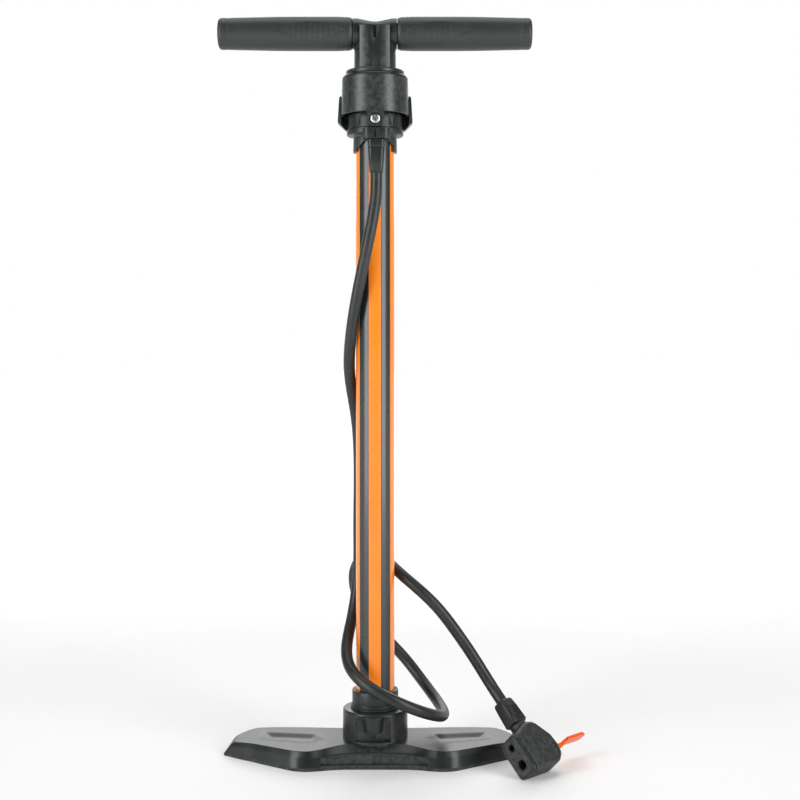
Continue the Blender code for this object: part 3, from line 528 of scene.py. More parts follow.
def dial_card():
    f = Finish("dial_card")
    age = f.ramp(f.noise(12 * MM, 4), 0.35, 0.75)
    f.set(Base_Color=f.mix(age, linear(240, 240, 236), linear(228, 227, 219)))
    f.set(Roughness=f.ramp(age, 0, 1, 0.45, 0.6), Normal=f.bump(f.noise(0.4 * MM, 2), 0.006 * MM))
    return f.material


def clear_lens():
    f = Finish("clear_lens")
    smudge = f.ramp(f.noise(9 * MM, 4), 0.4, 0.75)
    f.set(Base_Color=(0.95, 0.97, 0.97, 1), Roughness=f.ramp(smudge, 0, 1, 0.02, 0.10))
    f.set(Transmission_Weight=1.0, IOR=1.45, Normal=f.bump(f.noise(20 * MM, 1), 0.01 * MM))
    return f.material


def make_materials():
    worn_grey = linear(78, 81, 79)
    pale_orange = linear(250, 140, 80)
    return {
        "plastic": moulded("satin_black_plastic", (29, 34, 34), (34, 39, 38), 0.32, worn=worn_grey),
        "collar": moulded("matt_black_plastic", (27, 32, 32), (32, 37, 36), 0.4, worn=worn_grey),
        "matt": moulded("head_black_plastic", (23, 27, 27), (29, 33, 33), 0.48, worn=worn_grey),
        "lever": moulded("red_orange_plastic", (244, 92, 8), (250, 104, 14), 0.38, worn=pale_orange),
        "marks": moulded("printed_marks", (22, 23, 24), (34, 35, 36), 0.5),
        "dark_screw": metal("blackened_steel", (0.05, 0.05, 0.05, 1), (0.09, 0.09, 0.09, 1), 0.3),
        "grip": grip_rubber(),
        "lacquer": lacquer(),
        "hose": hose_rubber(),
        "rubber": moulded("seal_rubber", (26, 27, 27), (36, 37, 37), 0.55, grain_depth=0.03 * MM),
        "steel": metal("zinc_steel", (0.42, 0.43, 0.44, 1), (0.62, 0.63, 0.64, 1), 0.26),
        "chrome": metal("chrome_plate", (0.66, 0.67, 0.69, 1), (0.82, 0.83, 0.85, 1), 0.07),
        "rod_plating": metal("rod_plating", linear(104, 107, 110), linear(150, 152, 154), 0.24),
        "brass": metal("turned_brass", (0.52, 0.36, 0.14, 1), (0.78, 0.58, 0.28, 1), 0.24, (1, 1, 1)),
        "dial": dial_card(),
        "lens": clear_lens(),
    }


MATERIALS = make_materials()


# ---- base

# x, front foot y, front shoulder (y, z), front top (y, z), rear top (y, z) and rear foot y, all in mm
FOOT_STATIONS = (
    (0, -37.5, -36.8, 15.3, -26, 20.5, 37.5, 17.2, 41),
    (28, -37.5, -36.8, 14.6, -26.5, 20, 37.5, 17.2, 41),
    (40, -39.2, -37.5, 12.5, -30, 18.2, 37.8, 17.2, 41.4),
    (50, -42.3, -40.2, 11, -36, 17.4, 38.4, 17.3, 41.8),
    (60, -44.5, -42.2, 12, -39.8, 17, 39, 17.3, 42.4),
    (72, -42.5, -40, 12, -37.2, 16.8, 39.8, 17.3, 43.2),
    (96, -26, -23.8, 12, -21, 16.2, 41.2, 17, 44.5),
    (112, -14, -12, 11.5, -9.6, 15.6, 41.2, 16.6, 44.2),
    (120, -9, -7.2, 11.2, -4.8, 15, 36.5, 15.8, 40),
    (130, -1.6, -0.6, 10.6, 1.4, 13.8, 23, 14.4, 26.6),
    (136, 3.2, 4.2, 9.4, 5.6, 12.4, 12.5, 12.6, 14.6),
    (139, 6.2, 6.4, 7.6, 6.8, 9.6, 7.8, 9.8, 8.4),
)
FOOT_END = 139
WING_HOLLOW = ((105, 28), (54, 18), (44, 2), (55, -10), (66, -14), (110, 4))
HOLLOW_DEPTH = 3
HOLLOW_RIM = 12
TIP_SLOPE = (130, 140.6)
LOWEST_TIP = 0.16
POCKETS = ((34, 50), (53, 70), (73, 91), (94, 112))
FOOT_WALL = 3
FOOT_ROOF = 6.5


def station_at(x):
    """The foot's section at any x, between its stations."""
    x = min(abs(x), FOOT_END)
    for before, after in zip(FOOT_STATIONS, FOOT_STATIONS[1:]):
        if x <= after[0]:
            t = (x - before[0]) / (after[0] - before[0])
            return [a + (b - a) * t for a, b in zip(before[1:], after[1:])]


def soft_station(x):
    """The section at x, smoothed along the foot so that no crease crosses it."""
    near = [station_at(x + offset) for offset in (-4, -2, 0, 2, 4)]
    return [sum(values) / len(near) for values in zip(*near)]


def smoothstep(value):
    value = min(1.0, max(0.0, value))
    return value * value * (3 - 2 * value)


def hollow_depth(x, y):
    """How deep the wing's hollow is at x and y: a soft dish inside its outline."""
    inside = HOLLOW_RIM
    for (ax, ay), (bx, by) in zip(WING_HOLLOW, WING_HOLLOW[1:] + WING_HOLLOW[:1]):
        edge = Vector((bx - ax, by - ay)).normalized()
        inside = min(inside, edge.x * (y - ay) - edge.y * (abs(x) - ax))
    return HOLLOW_DEPTH * smoothstep(inside / HOLLOW_RIM)


def tip_height(x):
    """The share of its height that the foot keeps at x; both tips slope down to the floor."""
    low, high = TIP_SLOPE
    return 1 - (1 - LOWEST_TIP) * min(1.0, max(0.0, (abs(x) - low) / (high - low))) ** 1.6


def foot_loop(x, shrink=1.0):
    front, shoulder_y, shoulder_z, front_y, front_z, rear_y, rear_z, rear = soft_station(x)
    corners = (
        (front, 0), (front, 3), (shoulder_y, shoulder_z), (front_y, front_z), (rear_y, rear_z),
        (rear, 3), (rear, 0),
    )
    steps, across_top, flank_top = 5, 40, 12
    outline = filleted(corners, (0, 0.5, 1.6, 1.1, 2.4, 0.6, 0), steps)
    # The last point of the third rounded corner, from which the top runs to the rear
    first = 3 * (steps + 1)
    start, end = Vector(outline[first]), Vector(outline[first + 1])
    run = [tuple(start.lerp(end, i / across_top)) for i in range(1, across_top)]
    outline = outline[:first + 1] + run + outline[first + 1:]
    middle = (front + rear) / 2
    loop = []
    for y, z in outline:
        top = z > flank_top and front_y < y < rear_y
        z -= hollow_depth(x, y) if top else 0
        loop.append(Vector((x, middle + (y - middle) * shrink, z * tip_height(x))) * MM)
    return loop


def pocket(x_from, x_to, side):
    """The space under one bay of a wing, inside the foot's walls and ribs."""
    loops = []
    for x in (x_from, (x_from + x_to) / 2, x_to):
        front, shoulder_y, _, _, _, rear_y, rear_z, rear = station_at(x)
        ceiling = rear_z - FOOT_ROOF
        loop = (
            (front + FOOT_WALL, -1), (shoulder_y + FOOT_WALL, ceiling), (rear_y - FOOT_WALL, ceiling),
            (rear - FOOT_WALL, -1),
        )
        loops.append([Vector((side * x, y, z)) * MM for y, z in loop])
    return lofted(loops)


def front_bay():
    """The shallow bay in the foot's front face, which follows that face and narrows upwards."""
    outside, bottom, deep, shallow, depth = -60, 4.2, 13.8, 6.4, 1.8
    loops = []
    for x in (-48, -23, -8, 8, 23, 48):
        front, shoulder_y = soft_station(x)[:2]
        top = deep if abs(x) <= 23 else shallow
        back = max(front, shoulder_y) + depth
        loop = ((outside, bottom), (outside, top), (back, top), (back, bottom))
        loops.append([Vector((x, y, z)) * MM for y, z in loop])
    return lofted(loops)


def make_foot():
    steps = 92
    spread = [FOOT_END * i / steps for i in range(-steps, steps + 1)]
    tip = ((FOOT_END + 0.9, 0.8), (FOOT_END + 1.6, 0.4))
    loops = [foot_loop(-x, shrink) for x, shrink in tip[::-1]]
    loops += [foot_loop(x) for x in spread]
    loops += [foot_loop(x, shrink) for x, shrink in tip]
    foot = Shape("foot_shell", lofted(loops))
    radius, top, edge = 29.6, 47, 1.6
    rim = [(radius - edge + x, top - edge + z) for x, z in arc(edge, 0, 90, 6)]
    foot.join(turned_mm(((0, 8), (radius, 8), (radius + 0.3, 24), *rim, (0, top))))
    foot.cut(rod_mm(17.3, 25.7, 60))
    foot.cut(turned_mm(((26, -1), (26, 16.5), (9, 16.5), (9, -1)), 64))
    for side in (-1, 1):
        for x_from, x_to in POCKETS:
            foot.cut(pocket(x_from, x_to, side))
    foot.cut(front_bay())
    recess = ((-17.6, 21.5), (14.6, 21.5), (14.6, 41.5), (12, 45), (-15, 45), (-17.6, 41.5))
    foot.cut(prism_mm(filleted(recess, (0.8, 0.8, 2, 2, 2, 2), 3), 22, 40), FRONT)
    foot.cut(rod_mm(3, 27.2, 40, 32), FRONT @ at(PLUG_X, PLUG_Z, 0))
    foot.bevel(0.45 * MM, 2, 38)
    foot.done("plastic", "root", "black_plastic", "foot")


def cut_cross(screw, reach, half_width, low, high, place):
    """A cross recess in a screw's head, down to low; high lies above the head."""
    for x, y in ((reach, half_width), (half_width, reach)):
        screw.cut(box((-x * MM, -y * MM, low * MM), (x * MM, y * MM, high * MM)), place)


def make_port_plug():
    """The plug in the hub's unused port: two facets with a flat between them, and a cross-head screw."""
    loops = []
    for half, z in ((8.2, 30.2), (9.9, 42.8), (10.2, 44.7)):
        loop = mirrored(((half, -22.3), (half, -26.6), (half * 0.58, -30.2), (half * 0.5, -30.7)))
        loops.append([Vector((PLUG_X / MM + x, y, z)) * MM for x, y in loop])
    plug = Shape("port_plug", lofted(loops))
    plug.bevel(0.7 * MM)
    plug.done("plastic", "root", "black_plastic", "base_port_plug")
    at_port = FRONT @ at(PLUG_X, PLUG_Z, 0)
    screw = Shape("port_screw", turned_mm((
        (0, 18.8), (1.3, 18.8), (1.3, 22.4), (2.4, 22.4), (2.4, 23.3), (1.9, 23.8), (0, 24),
    ), 48), at_port)
    cut_cross(screw, 1.5, 0.3, 23.2, 26, at_port)
    screw.bevel(0.12 * MM, 2)
    screw.done("dark_screw", "root", "steel", "base_port_screw")


def make_base_sleeve():
    sleeve = Shape("base_sleeve", turned_mm((
        (17.95, 64), (20.3, 64), (20.9, 63.75), (21.15, 63.2), (21.15, 52.6), (20.8, 52.3), (20.8, 51.7),
        (21.15, 51.4), (21.15, 51), (21.9, 50.5), (21.9, 49.5), (21.6, 49.3), (21.6, 49), (22.7, 48.4),
        (22.7, 47.3), (17, 47.3), (17, 26), (8, 26), (8, 44), (3, 44), (3, 55.6), (13, 55.6), (13, 52),
        (17.95, 52),
    )))
    sleeve.bevel(0.12 * MM, 2)
    sleeve.done("collar", "root", "collar_plastic", "barrel_base_cap")


# ---- barrel, cap and gauge


def make_barrel():
    low, high, bore, edge = 52.3 * MM, 589 * MM, 16.45 * MM, 0.3 * MM
    stations = 24
    outside = [
        (BARREL_R, low + edge + (high - low - 2 * edge) * i / stations) for i in range(stations + 1)
    ]
    rims = ((BARREL_R - edge, high), (bore, high), (bore, low), (BARREL_R - edge, low))
    barrel = Shape("striped_barrel", turned((*outside, *rims), 128))
    barrel.done("lacquer", "root", "orange_lacquer", "outer_barrel")


def make_collar():
    bore = (BARREL_R + GAP) / MM
    collar = Shape("collar", turned_mm((
        (bore, 556), (19.9, 556), (20.1, 556.4), (19.85, 569.6), (21.4, 571), (25, 571), (25.9, 571.9),
        (25.9, 576.2), (25.2, 576.9), (24.6, 577.1), (24.6, 589.7), (bore, 589.7),
    )))
    outline = rounded_rectangle(25 * MM, 17 * MM, 6 * MM, 8, (HOSE_START.x, -25.5 * MM))
    collar.join(prism(outline, 565.2 * MM, 574.5 * MM))
    half = ((18.5, 550), (18.5, 557), (15, 561), (11.5, 565))
    arch = filleted(mirrored(half), (0, 1, 1.5, 2, 2, 1.5, 1, 0), 4)
    arch = [(HOSE_START.x + x * MM, z * MM) for x, z in arch]
    collar.cut(prism(arch, 10 * MM, 22 * MM), FRONT)
    collar.cut(rod_mm(bore, 540, 600, 96))
    slit = box((SCREW_X - 0.7 * MM, -36 * MM, 566 * MM), (SCREW_X + 0.7 * MM, -31.2 * MM, 573.6 * MM))
    collar.cut(slit)
    collar.cut(rod_mm(3.3, 560, 572, 32), at(HOSE_START.x, HOSE_START.y, 0))
    for side in (-1, 1):
        lightening = prism_mm(rounded_rectangle(5.2, 7.5, 1.2, 4), 23.6, 27)
        collar.cut(lightening, Matrix.Rotation(side * radians(38), 4, "Z") @ FRONT @ at(0, 583.4 * MM, 0))
    collar.bevel(0.35 * MM, 2, 40)
    collar.done("collar", "root", "collar_plastic", "cap_collar")


def make_cover():
    drum_r, top_r, wall, bottom, top = DRUM_R / MM, 30.35, 2.2, 590, 630.5
    # The shoulder rises to a groove, and a narrower rim stands over it
    shoulder = [(top_r - 4 + x, top - 8.2 + z) for x, z in arc(4, 0, 75, 10)]
    rim = ((26.2, 626.1), (26.2, 626.7), (26.9, 627.1), (26.9, 629.4), (26.4, 630.2), (25.6, top))
    cover = Shape("cover_shell", turned_mm((
        (drum_r - wall, bottom), (drum_r - 0.4, bottom), (drum_r, bottom + 0.4), *shoulder, *rim,
        (13, top), (12.4, top - 0.6), (10, top - 0.6), (10, top - 2.6), (top_r - 6.4, top - 2.6),
        (top_r - 5.4, top - 6), (top_r - wall, top - 9),
    ), 128))
    tab = [(SCREW_X + x, SCREW_Z + z) for x, z in arc(7 * MM, 180, 360, 24)]
    tab += [(SCREW_X + 8.4 * MM, 592.3 * MM), (SCREW_X - 8.4 * MM, 592.3 * MM)]
    cover.join(prism(tab, 26.45 * MM, 31.5 * MM), FRONT)
    at_screw = FRONT @ at(SCREW_X, SCREW_Z, 0)
    cover.cut(rod_mm(5.3, 29.2, 36, 48), at_screw)
    cover.cut(rod_mm(2.3, 24, 34, 32), at_screw)
    cover.cut(rod(BEZEL_R + 2 * GAP, -14.5 * MM, 8 * MM, 96), GAUGE)
    cover.bevel(0.35 * MM, 2, 40)
    cover.done("plastic", "root", "black_plastic", "cap_cover")

    screw = Shape("cover_screw", turned_mm((
        (0, 20.9), (1.8, 20.9), (1.8, 29.5), (4.7, 29.5), (4.7, 30.4), (4.3, 31), (3.2, 31.5), (1.6, 31.75),
        (0, 31.8),
    ), 64), at_screw)
    cut_cross(screw, 2.8, 0.5, 30.3, 33, at_screw @ Matrix.Rotation(radians(12), 4, "Z"))
    screw.bevel(0.15 * MM, 2)
    screw.done("steel", "root", "steel", "cap_screw")


def make_gauge():
    right = ((27, 578.6), (34.3, 584), (34.3, 586), (33, 607), (31.5, 608.4))
    ears = filleted(mirrored(right), 1.2, 3)
    housing = Shape("gauge_shell", prism_mm(ears, 2, 38), BACK)
    housing.change("INTERSECT", rod_mm(37, 560, 620, 128))
    housing.cut(rod(DRUM_R + GAP, 570 * MM, 640 * MM, 128))
    housing.cut(rod_mm(26.4, -0.4, 15, 96), GAUGE)
    housing.join(rod_mm(25, -11, 0, 96), GAUGE)
    housing.cut(rod_mm(22.6, -8.8, 5, 96), GAUGE)
    housing.bevel(0.4 * MM, 2, 40)
    housing.done("plastic", "root", "black_plastic", "gauge_housing")

    lip = [(23.2 + x, 1.2 + z) for x, z in arc(1.1, 0, 180, 10)]
    bezel = Shape("gauge_ring", turned_mm((
        (21.4, 0.3), (25.6, 0.3), (25.9, 0.6), (25.9, 1.2), (25.5, 1.6), (24.6, 1.6), *lip, (21.4, 1.4),
    ), 128), GAUGE)
    bezel.done("chrome", "root", "chrome", "gauge_bezel")
    lens = Shape("gauge_window", turned_mm((
        (0, -1.2), (22.3, -1.2), (22.3, -0.3), (21.2, -0.05), (0, 0),
    ), 96), GAUGE)
    lens.done("lens", "root", "clear_lens", "gauge_lens")
    dial = Shape("dial_plate", turned_mm((
        (0, -4.2), (22.2, -4.2), (22.2, DIAL_FACE), (0, DIAL_FACE),
    )), GAUGE)
    dial.cut(rod_mm(1.6, -6, 0, 32), GAUGE)
    dial.done("dial", "root", "dial_white", "gauge_dial")
    make_dial_marks()

    pointer = Shape("dial_pointer", turned_mm((
        (0, -2.9), (2.6, -2.9), (2.6, -1.9), (2.2, -1.6), (0, -1.5),
    ), 48), GAUGE)
    needle = prism_mm(((-1.3, -5), (1.3, -5), (0.35, 16), (-0.35, 16)), -2.7, -2)
    pointer.join(needle, GAUGE @ Matrix.Rotation(radians(POINTER_AT_ZERO_DEG), 4, "Z"))
    pointer.join(rod_mm(1.2, -5.2, -2.2, 24), GAUGE)
    pointer.bevel(0.15 * MM, 2)
    pointer.done("lever", "pointer", "pointer_orange", "gauge_pointer")


def make_dial_marks():
    """Printed ticks over three quarters of a turn, with a plain number at every fifth one."""
    ticks, sweep, per_tick, numbered = 40, 270, 4, 5
    tick_end, number_r, number_size, ink = 20.6 * MM, 13.2 * MM, 4.2 * MM, 0.04 * MM
    lift = DIAL_FACE * MM
    bm = bmesh.new()
    for i in range(ticks + 1):
        angle = radians(POINTER_AT_ZERO_DEG - sweep * i / ticks)
        long = i % numbered == 0
        inner, half = (16.6 * MM, 0.28 * MM) if long else (18.4 * MM, 0.13 * MM)
        tick = box((-half, inner, lift), (half, tick_end, lift + 2 * ink))
        bmesh.ops.transform(tick, matrix=GAUGE @ Matrix.Rotation(angle, 4, "Z"), verts=tick.verts)
        mesh = bpy.data.meshes.new("tick")
        tick.to_mesh(mesh)
        tick.free()
        bm.from_mesh(mesh)
        bpy.data.meshes.remove(mesh)
        if not long:
            continue
        writing = bpy.data.curves.new("number", "FONT")
        writing.body = str(i * per_tick)
        writing.size = number_size
        writing.extrude = ink
        writing.align_x = writing.align_y = "CENTER"
        number = linked("number", writing)
        number.matrix_world = GAUGE @ at(-number_r * sin(angle), number_r * cos(angle), lift + ink)
        bpy.context.view_layer.update()
        graph = bpy.context.evaluated_depsgraph_get()
        mesh = bpy.data.meshes.new_from_object(number.evaluated_get(graph))
        mesh.transform(number.matrix_world)
        bm.from_mesh(mesh)
        bpy.data.objects.remove(number)
        bpy.data.meshes.remove(mesh)
    marks = Shape("dial_marks", bm)
    marks.done("marks", "root", "black_plastic")


# ---- handle


def stem_outline():
    """The stem's panel seen from above: a flat between two slanting facets, front and back."""
    front = ((-13.6, -13), (-13.6, -16.4), (-6.4, -18.9), (6.4, -18.9), (13.6, -16.4), (13.6, -13))
    return scaled((*front, *((x, -y) for x, y in front[::-1])))


def make_handle():
    core = Shape("handle_frame", turned_mm((
        (0, 630.8), (18.4, 630.8), (18.9, 631), (19.15, 631.5), (19.15, 649), (18.2, 654), (15.4, 658.5),
        (10, 661.5), (0, 663),
    )))
    thin, swell, reach = 11.3, 2.9, 19
    waist = [(thin + swell * smoothstep(abs(x) / reach), x) for x in range(-20, 21, 2)]
    core.join(turned_mm((
        (0, -139), (9.6, -139), (9.6, -20), *waist, (9.6, 20), (9.6, 139), (0, 139),
    ), 96), SIDEWAYS)
    core.join(prism(stem_outline(), 631.6 * MM, 669.5 * MM))
    for side in (-1, 1):
        middle = side * 17.4 * MM
        core.cut(box((middle - 1.4 * MM, -30 * MM, 600 * MM), (middle + 1.4 * MM, -9.5 * MM, 648 * MM)))
    for face in (FRONT, BACK):
        core.cut(box((-1.2 * MM, 657.5 * MM, 16.6 * MM), (1.2 * MM, 675 * MM, 26 * MM)), face)
    core.cut(rod_mm(6.3, 600, 655))
    core.cut(rod(PIN_HOLE_R, -25 * MM, 17 * MM, 24), FRONT @ at(0, HANDLE_PIN_Z, 0))
    core.bevel(0.6 * MM, 3, 33)
    core.done("plastic", "handle", "black_plastic", "handle_core")


GRIP_R = 15.4
GRIP_MOTIF = (57.7, 30)
MOTIF_REACH = radians(34)
MOTIF_FADE = radians(5)
RIB_SPACING = 5
RIB_DEPTH = 0.55
RIB_LEAST = 0.35
GRIP_RINGS = (27.5, 31, 134)
GRIP_RING_HALF = 0.9
GRIP_RING_DEPTH = 0.35
GRIP_BORE_LIMIT = 12 * MM


def grip_profile():
    end, edge, edge_r, shoulder = HANDLE_HALF / MM, 3, 10.8, 13.8
    first, last, steps = 23, 138, 120
    body = []
    for step in range(steps + 1):
        z = first + (last - first) * step / steps
        drop = 0.5 * ((z - 34) / 11) ** 2 if z < 34 else 1.2 * smoothstep((z - 70) / 80) ** 1.2
        body.append((GRIP_R - drop, z))
    widest = body[-1][0]
    rounding = [(edge_r + x, end - edge + z) for x, z in arc(edge, 0, 90, 8)]
    rounding = [(min(x + (widest - shoulder) * (1 - i / 8), widest), z) for i, (x, z) in enumerate(rounding)]
    start = ((9.9, 20.4), (13.2, 20.4), (shoulder, 20.7), (14.3, 21.6))
    return (*start, *body, *rounding, (0, end), (0, 139.6), (9.9, 139.6))


def rib_depth(x, turn):
    """The grip's ribbed lens on its front and back: rings of groove that a pointed oval bounds."""
    middle, half = GRIP_MOTIF
    along = (x - middle) / half
    if abs(along) >= 1:
        return 0.0
    inside = smoothstep((MOTIF_REACH * (1 - along * along) - abs(turn)) / MOTIF_FADE)
    wave = 0.5 - 0.5 * cos(tau * (x - middle) / RIB_SPACING)
    return RIB_DEPTH * inside * (RIB_LEAST + (1 - RIB_LEAST) * wave)


def make_grips():
    for side, name in ((-1, "left_grip"), (1, "right_grip")):
        place = across((0, 0, HANDLE_Z), (side, 0, 0))
        grip = Shape(f"{name}_sleeve", turned_mm(grip_profile(), 128), place)
        for vertex in grip.thing.data.vertices:
            x, y, z = vertex.co
            z -= HANDLE_Z
            reach = sqrt(y * y + z * z)
            if reach < GRIP_BORE_LIMIT:
                continue
            # Two narrow rings at the inner end and one at the outer, and the ribbed lens front and back
            rings = [smoothstep(1 - abs(abs(x) / MM - middle) / GRIP_RING_HALF) for middle in GRIP_RINGS]
            turn = min(abs(atan2(z, -y)), abs(atan2(z, y)))
            depth = GRIP_RING_DEPTH * sum(rings) + rib_depth(abs(x) / MM, turn)
            share = 1 - depth * MM / reach
            vertex.co = (x, y * share, z * share + HANDLE_Z)
        grip.done("grip", "handle", "grip_rubber", name)


def make_rod():
    made = Shape("plated_rod", turned_mm((
        (0, 68), (3.6, 68), (3.6, 88.3), (5.7, 88.3), (6, 88.6), (6, 654.2), (5.5, 654.7), (0, 654.7),
    ), 64))
    made.cut(rod_mm(4.5, 94, 632, 32))
    made.cut(rod(PIN_HOLE_R, -10 * MM, 10 * MM, 24), FRONT @ at(0, HANDLE_PIN_Z, 0))
    made.done("rod_plating", "handle", "chrome", "piston_rod")


# ---- hose and pump head


def make_hose():
    hose_end = HEAD @ Vector((0, STUB_END + FERRULE_LENGTH + GAP, -HOSE_BEHIND_FACE))
    before_end = hose_end + HEAD.to_3x3() @ Vector((0, HOSE_LEAD_IN, 0))
    route = [Vector(point) * MM for point in HOSE_ROUTE] + [before_end, hose_end]
    curve = bpy.data.curves.new("air_hose", "CURVE")
    curve.dimensions = "3D"
    curve.bevel_depth = HOSE_R
    curve.bevel_resolution = 8
    curve.use_fill_caps = True
    even = smooth_through(route, HOSE_STEP)
    spline = curve.splines.new("POLY")
    spline.points.add(len(even) - 1)
    for point, place in zip(spline.points, even):
        point.co = (*place, 1)
    spline.use_smooth = True
    curve.materials.append(MATERIALS["hose"])
    hose = linked("air_hose", curve)
    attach(hose, "root")
    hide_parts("hose")
    length = sum((b - a).length for a, b in zip(even, even[1:]))
    return hose, length


def make_strain_relief():
    x, y = HOSE_START.x / MM, HOSE_START.y / MM
    sizes = (
        (11.6, 11.6, 535.2, 3.2), (12.3, 12.2, 535.8, 3.2), (13.6, 13.2, 546, 3.4), (14.9, 13.9, 556.6, 3.4),
        (14.2, 13.2, 557, 3.4), (14.2, 13.2, 557.9, 3.4), (15.4, 14.2, 558.3, 3.4), (15.6, 14.4, 559, 3.4),
        (15.6, 14.4, 564, 3.4), (15, 13.8, 564.6, 3.4),
    )
    relief = Shape("strain_relief", stack_mm(sizes, (x, y)))
    # Bend slots in both sides of the lower half, between solid ribs
    slot_from, slot_step, slot_tall, half_wide, half_deep = 538.2, 2.6, 1.1, 3.2, 4.4
    for i in range(4):
        low = slot_from + slot_step * i
        for middle in (x - 8.2, x + 8.2):
            relief.cut(box_mm(
                (middle - half_wide, y - half_deep, low),
                (middle + half_wide, y + half_deep, low + slot_tall),
            ))
    relief.join(box_mm((x - 4.9, y - 7.15, 541), (x - 1.9, y - 5, 553.5)))
    relief.bevel(0.3 * MM, 2, 40)
    return relief.done("plastic", "root", "black_plastic", "hose_strain_relief")


def make_ferrule():
    low = STUB_END / MM + 0.3
    sizes = (
        (15.4, 13.2, 0, 3), (16.4, 14.2, 0.5, 3.2), (18, 15.8, 1.9, 3.6), (17.4, 15.2, 10, 3.6),
        (16.6, 14.6, 17, 3.4), (15.6, 13.6, 23.2, 3.2), (14, 12.4, 24.7, 3),
    )
    ferrule = Shape("ferrule", stack_mm(sizes, lift=low), STUB)
    # A raised plate with cross grooves, on the two faces across the hose from each other
    for side in (-1, 1):
        face = Matrix.Rotation(-side * pi / 2, 4, "X")
        plate = [(x, -side * y) for x, y in rounded_rectangle(10.4, 14, 3, 6, (0, low + 10.6))]
        ferrule.join(prism_mm(plate, 6.2, 8.35), STUB @ face)
        for i in range(4):
            groove = rounded_rectangle(7.2, 1.3, 0.6, 4, (0, low + 6.4 + 2.8 * i))
            groove = [(x, -side * y) for x, y in groove]
            ferrule.cut(prism_mm(groove, 7.5, 10), STUB @ face)
    ferrule.bevel(0.35 * MM, 2, 40)
    return ferrule.done("matt", "root", "black_plastic", "hose_ferrule")


def profile_drawn_in(inset):
    """The head's side view as (y, depth) pairs, rounded and drawn in; its front stays in one plane."""
    rounded = filleted(HEAD_PROFILE, HEAD_FILLETS, 4, closed=False)
    points = [Vector(point) for point in rounded]
    drawn = []
    for i, point in enumerate(points):
        if i in (0, len(points) - 1):
            inward = Vector((-1 if point.x > 0 else 1, 0))
        else:
            along = (points[i + 1] - points[i - 1]).normalized()
            inward = Vector((-along.y, along.x))
        drawn.append(point + inward * inset)
    return drawn


def head_sections():
    """(x, inset) pairs across the head: a quarter ellipse from either side face to the outline."""
    flat_half, edge_wide, edge_deep = 6.2, 4.8, 4.6
    angles = [radians(angle) for angle in range(0, 91, 10)]
    half = [(flat_half + edge_wide * sin(angle), edge_deep * (1 - cos(angle))) for angle in angles]
    return [(-x, inset) for x, inset in half[::-1]] + half


def face_outline(shrink, depth):
    top, bottom, off_middle = HEAD_PROFILE[0][0], HEAD_PROFILE[-1][0], 1.0
    upper = [(x, top - inset) for x, inset in head_sections()]
    lower = [(x, bottom + inset) for x, inset in head_sections()[::-1]]
    loop = []
    for x, y in upper + lower:
        out = Vector((x, y + off_middle)).normalized()
        loop.append(Vector((x - shrink * out.x, y - shrink * out.y, depth)) * MM)
    return loop


def make_head():
    loops = []
    for x, inset in head_sections():
        loops.append([Vector((x, y, -depth)) * MM for y, depth in profile_drawn_in(inset)])
    body = Shape("head_shell", lofted(loops), HEAD)
    neck = turned_mm(((0, 14), (7.8, 14), (7.8, 26.9), (7.2, 27.5), (0, 27.5)), 64)
    body.join(neck, STUB)
    body.cut(prism_mm(rounded_rectangle(15, 30.4, 6, 6, (0, -0.4)), -22, 5), HEAD)
    # The lever's slot, a little deeper over the plunger
    slot = ((-11.5, -60), (30, -60), (30, -33.9), (4, -33.9), (4, -32), (-11.5, -32))
    body.cut(slab_mm(slot, 3.4), HEAD)
    body.cut(rod_mm(3, -34, -21, 32), HEAD @ at(0, LEVER_Y, 0))
    body.cut(rod_mm(LEVER_PIN_BORE_R, -14, 14, 32), LEVER_PIN)
    body.bevel(0.4 * MM, 2, 40)
    shell = body.done("matt", "root", "black_plastic", "head_body")

    plate = Shape("face_plate", lofted([
        face_outline(0.6, -4), face_outline(0.2, -3.6), face_outline(0.2, -1.6), face_outline(0.5, -0.8),
        face_outline(1.0, -0.25), face_outline(1.6, 0),
    ]), HEAD)
    for y, radius in ((8.6, 3), (-8.6, 4.2)):
        wide = radius + 0.9
        sink = turned_mm(((0, -10), (radius, -10), (radius, -0.9), (wide, 0), (wide, 4), (0, 4)), 48)
        plate.cut(sink, HEAD @ at(0, y * MM, 0))
    for x in (-4.4, 4.4):
        plate.cut(rod_mm(0.6, -0.6, 4, 24), HEAD @ at(x * MM, 0.6 * MM, 0))
    plate.bevel(0.2 * MM, 2, 40)
    front = plate.done("matt", "root", "black_plastic", "head_face_plate")
    return [shell, front]


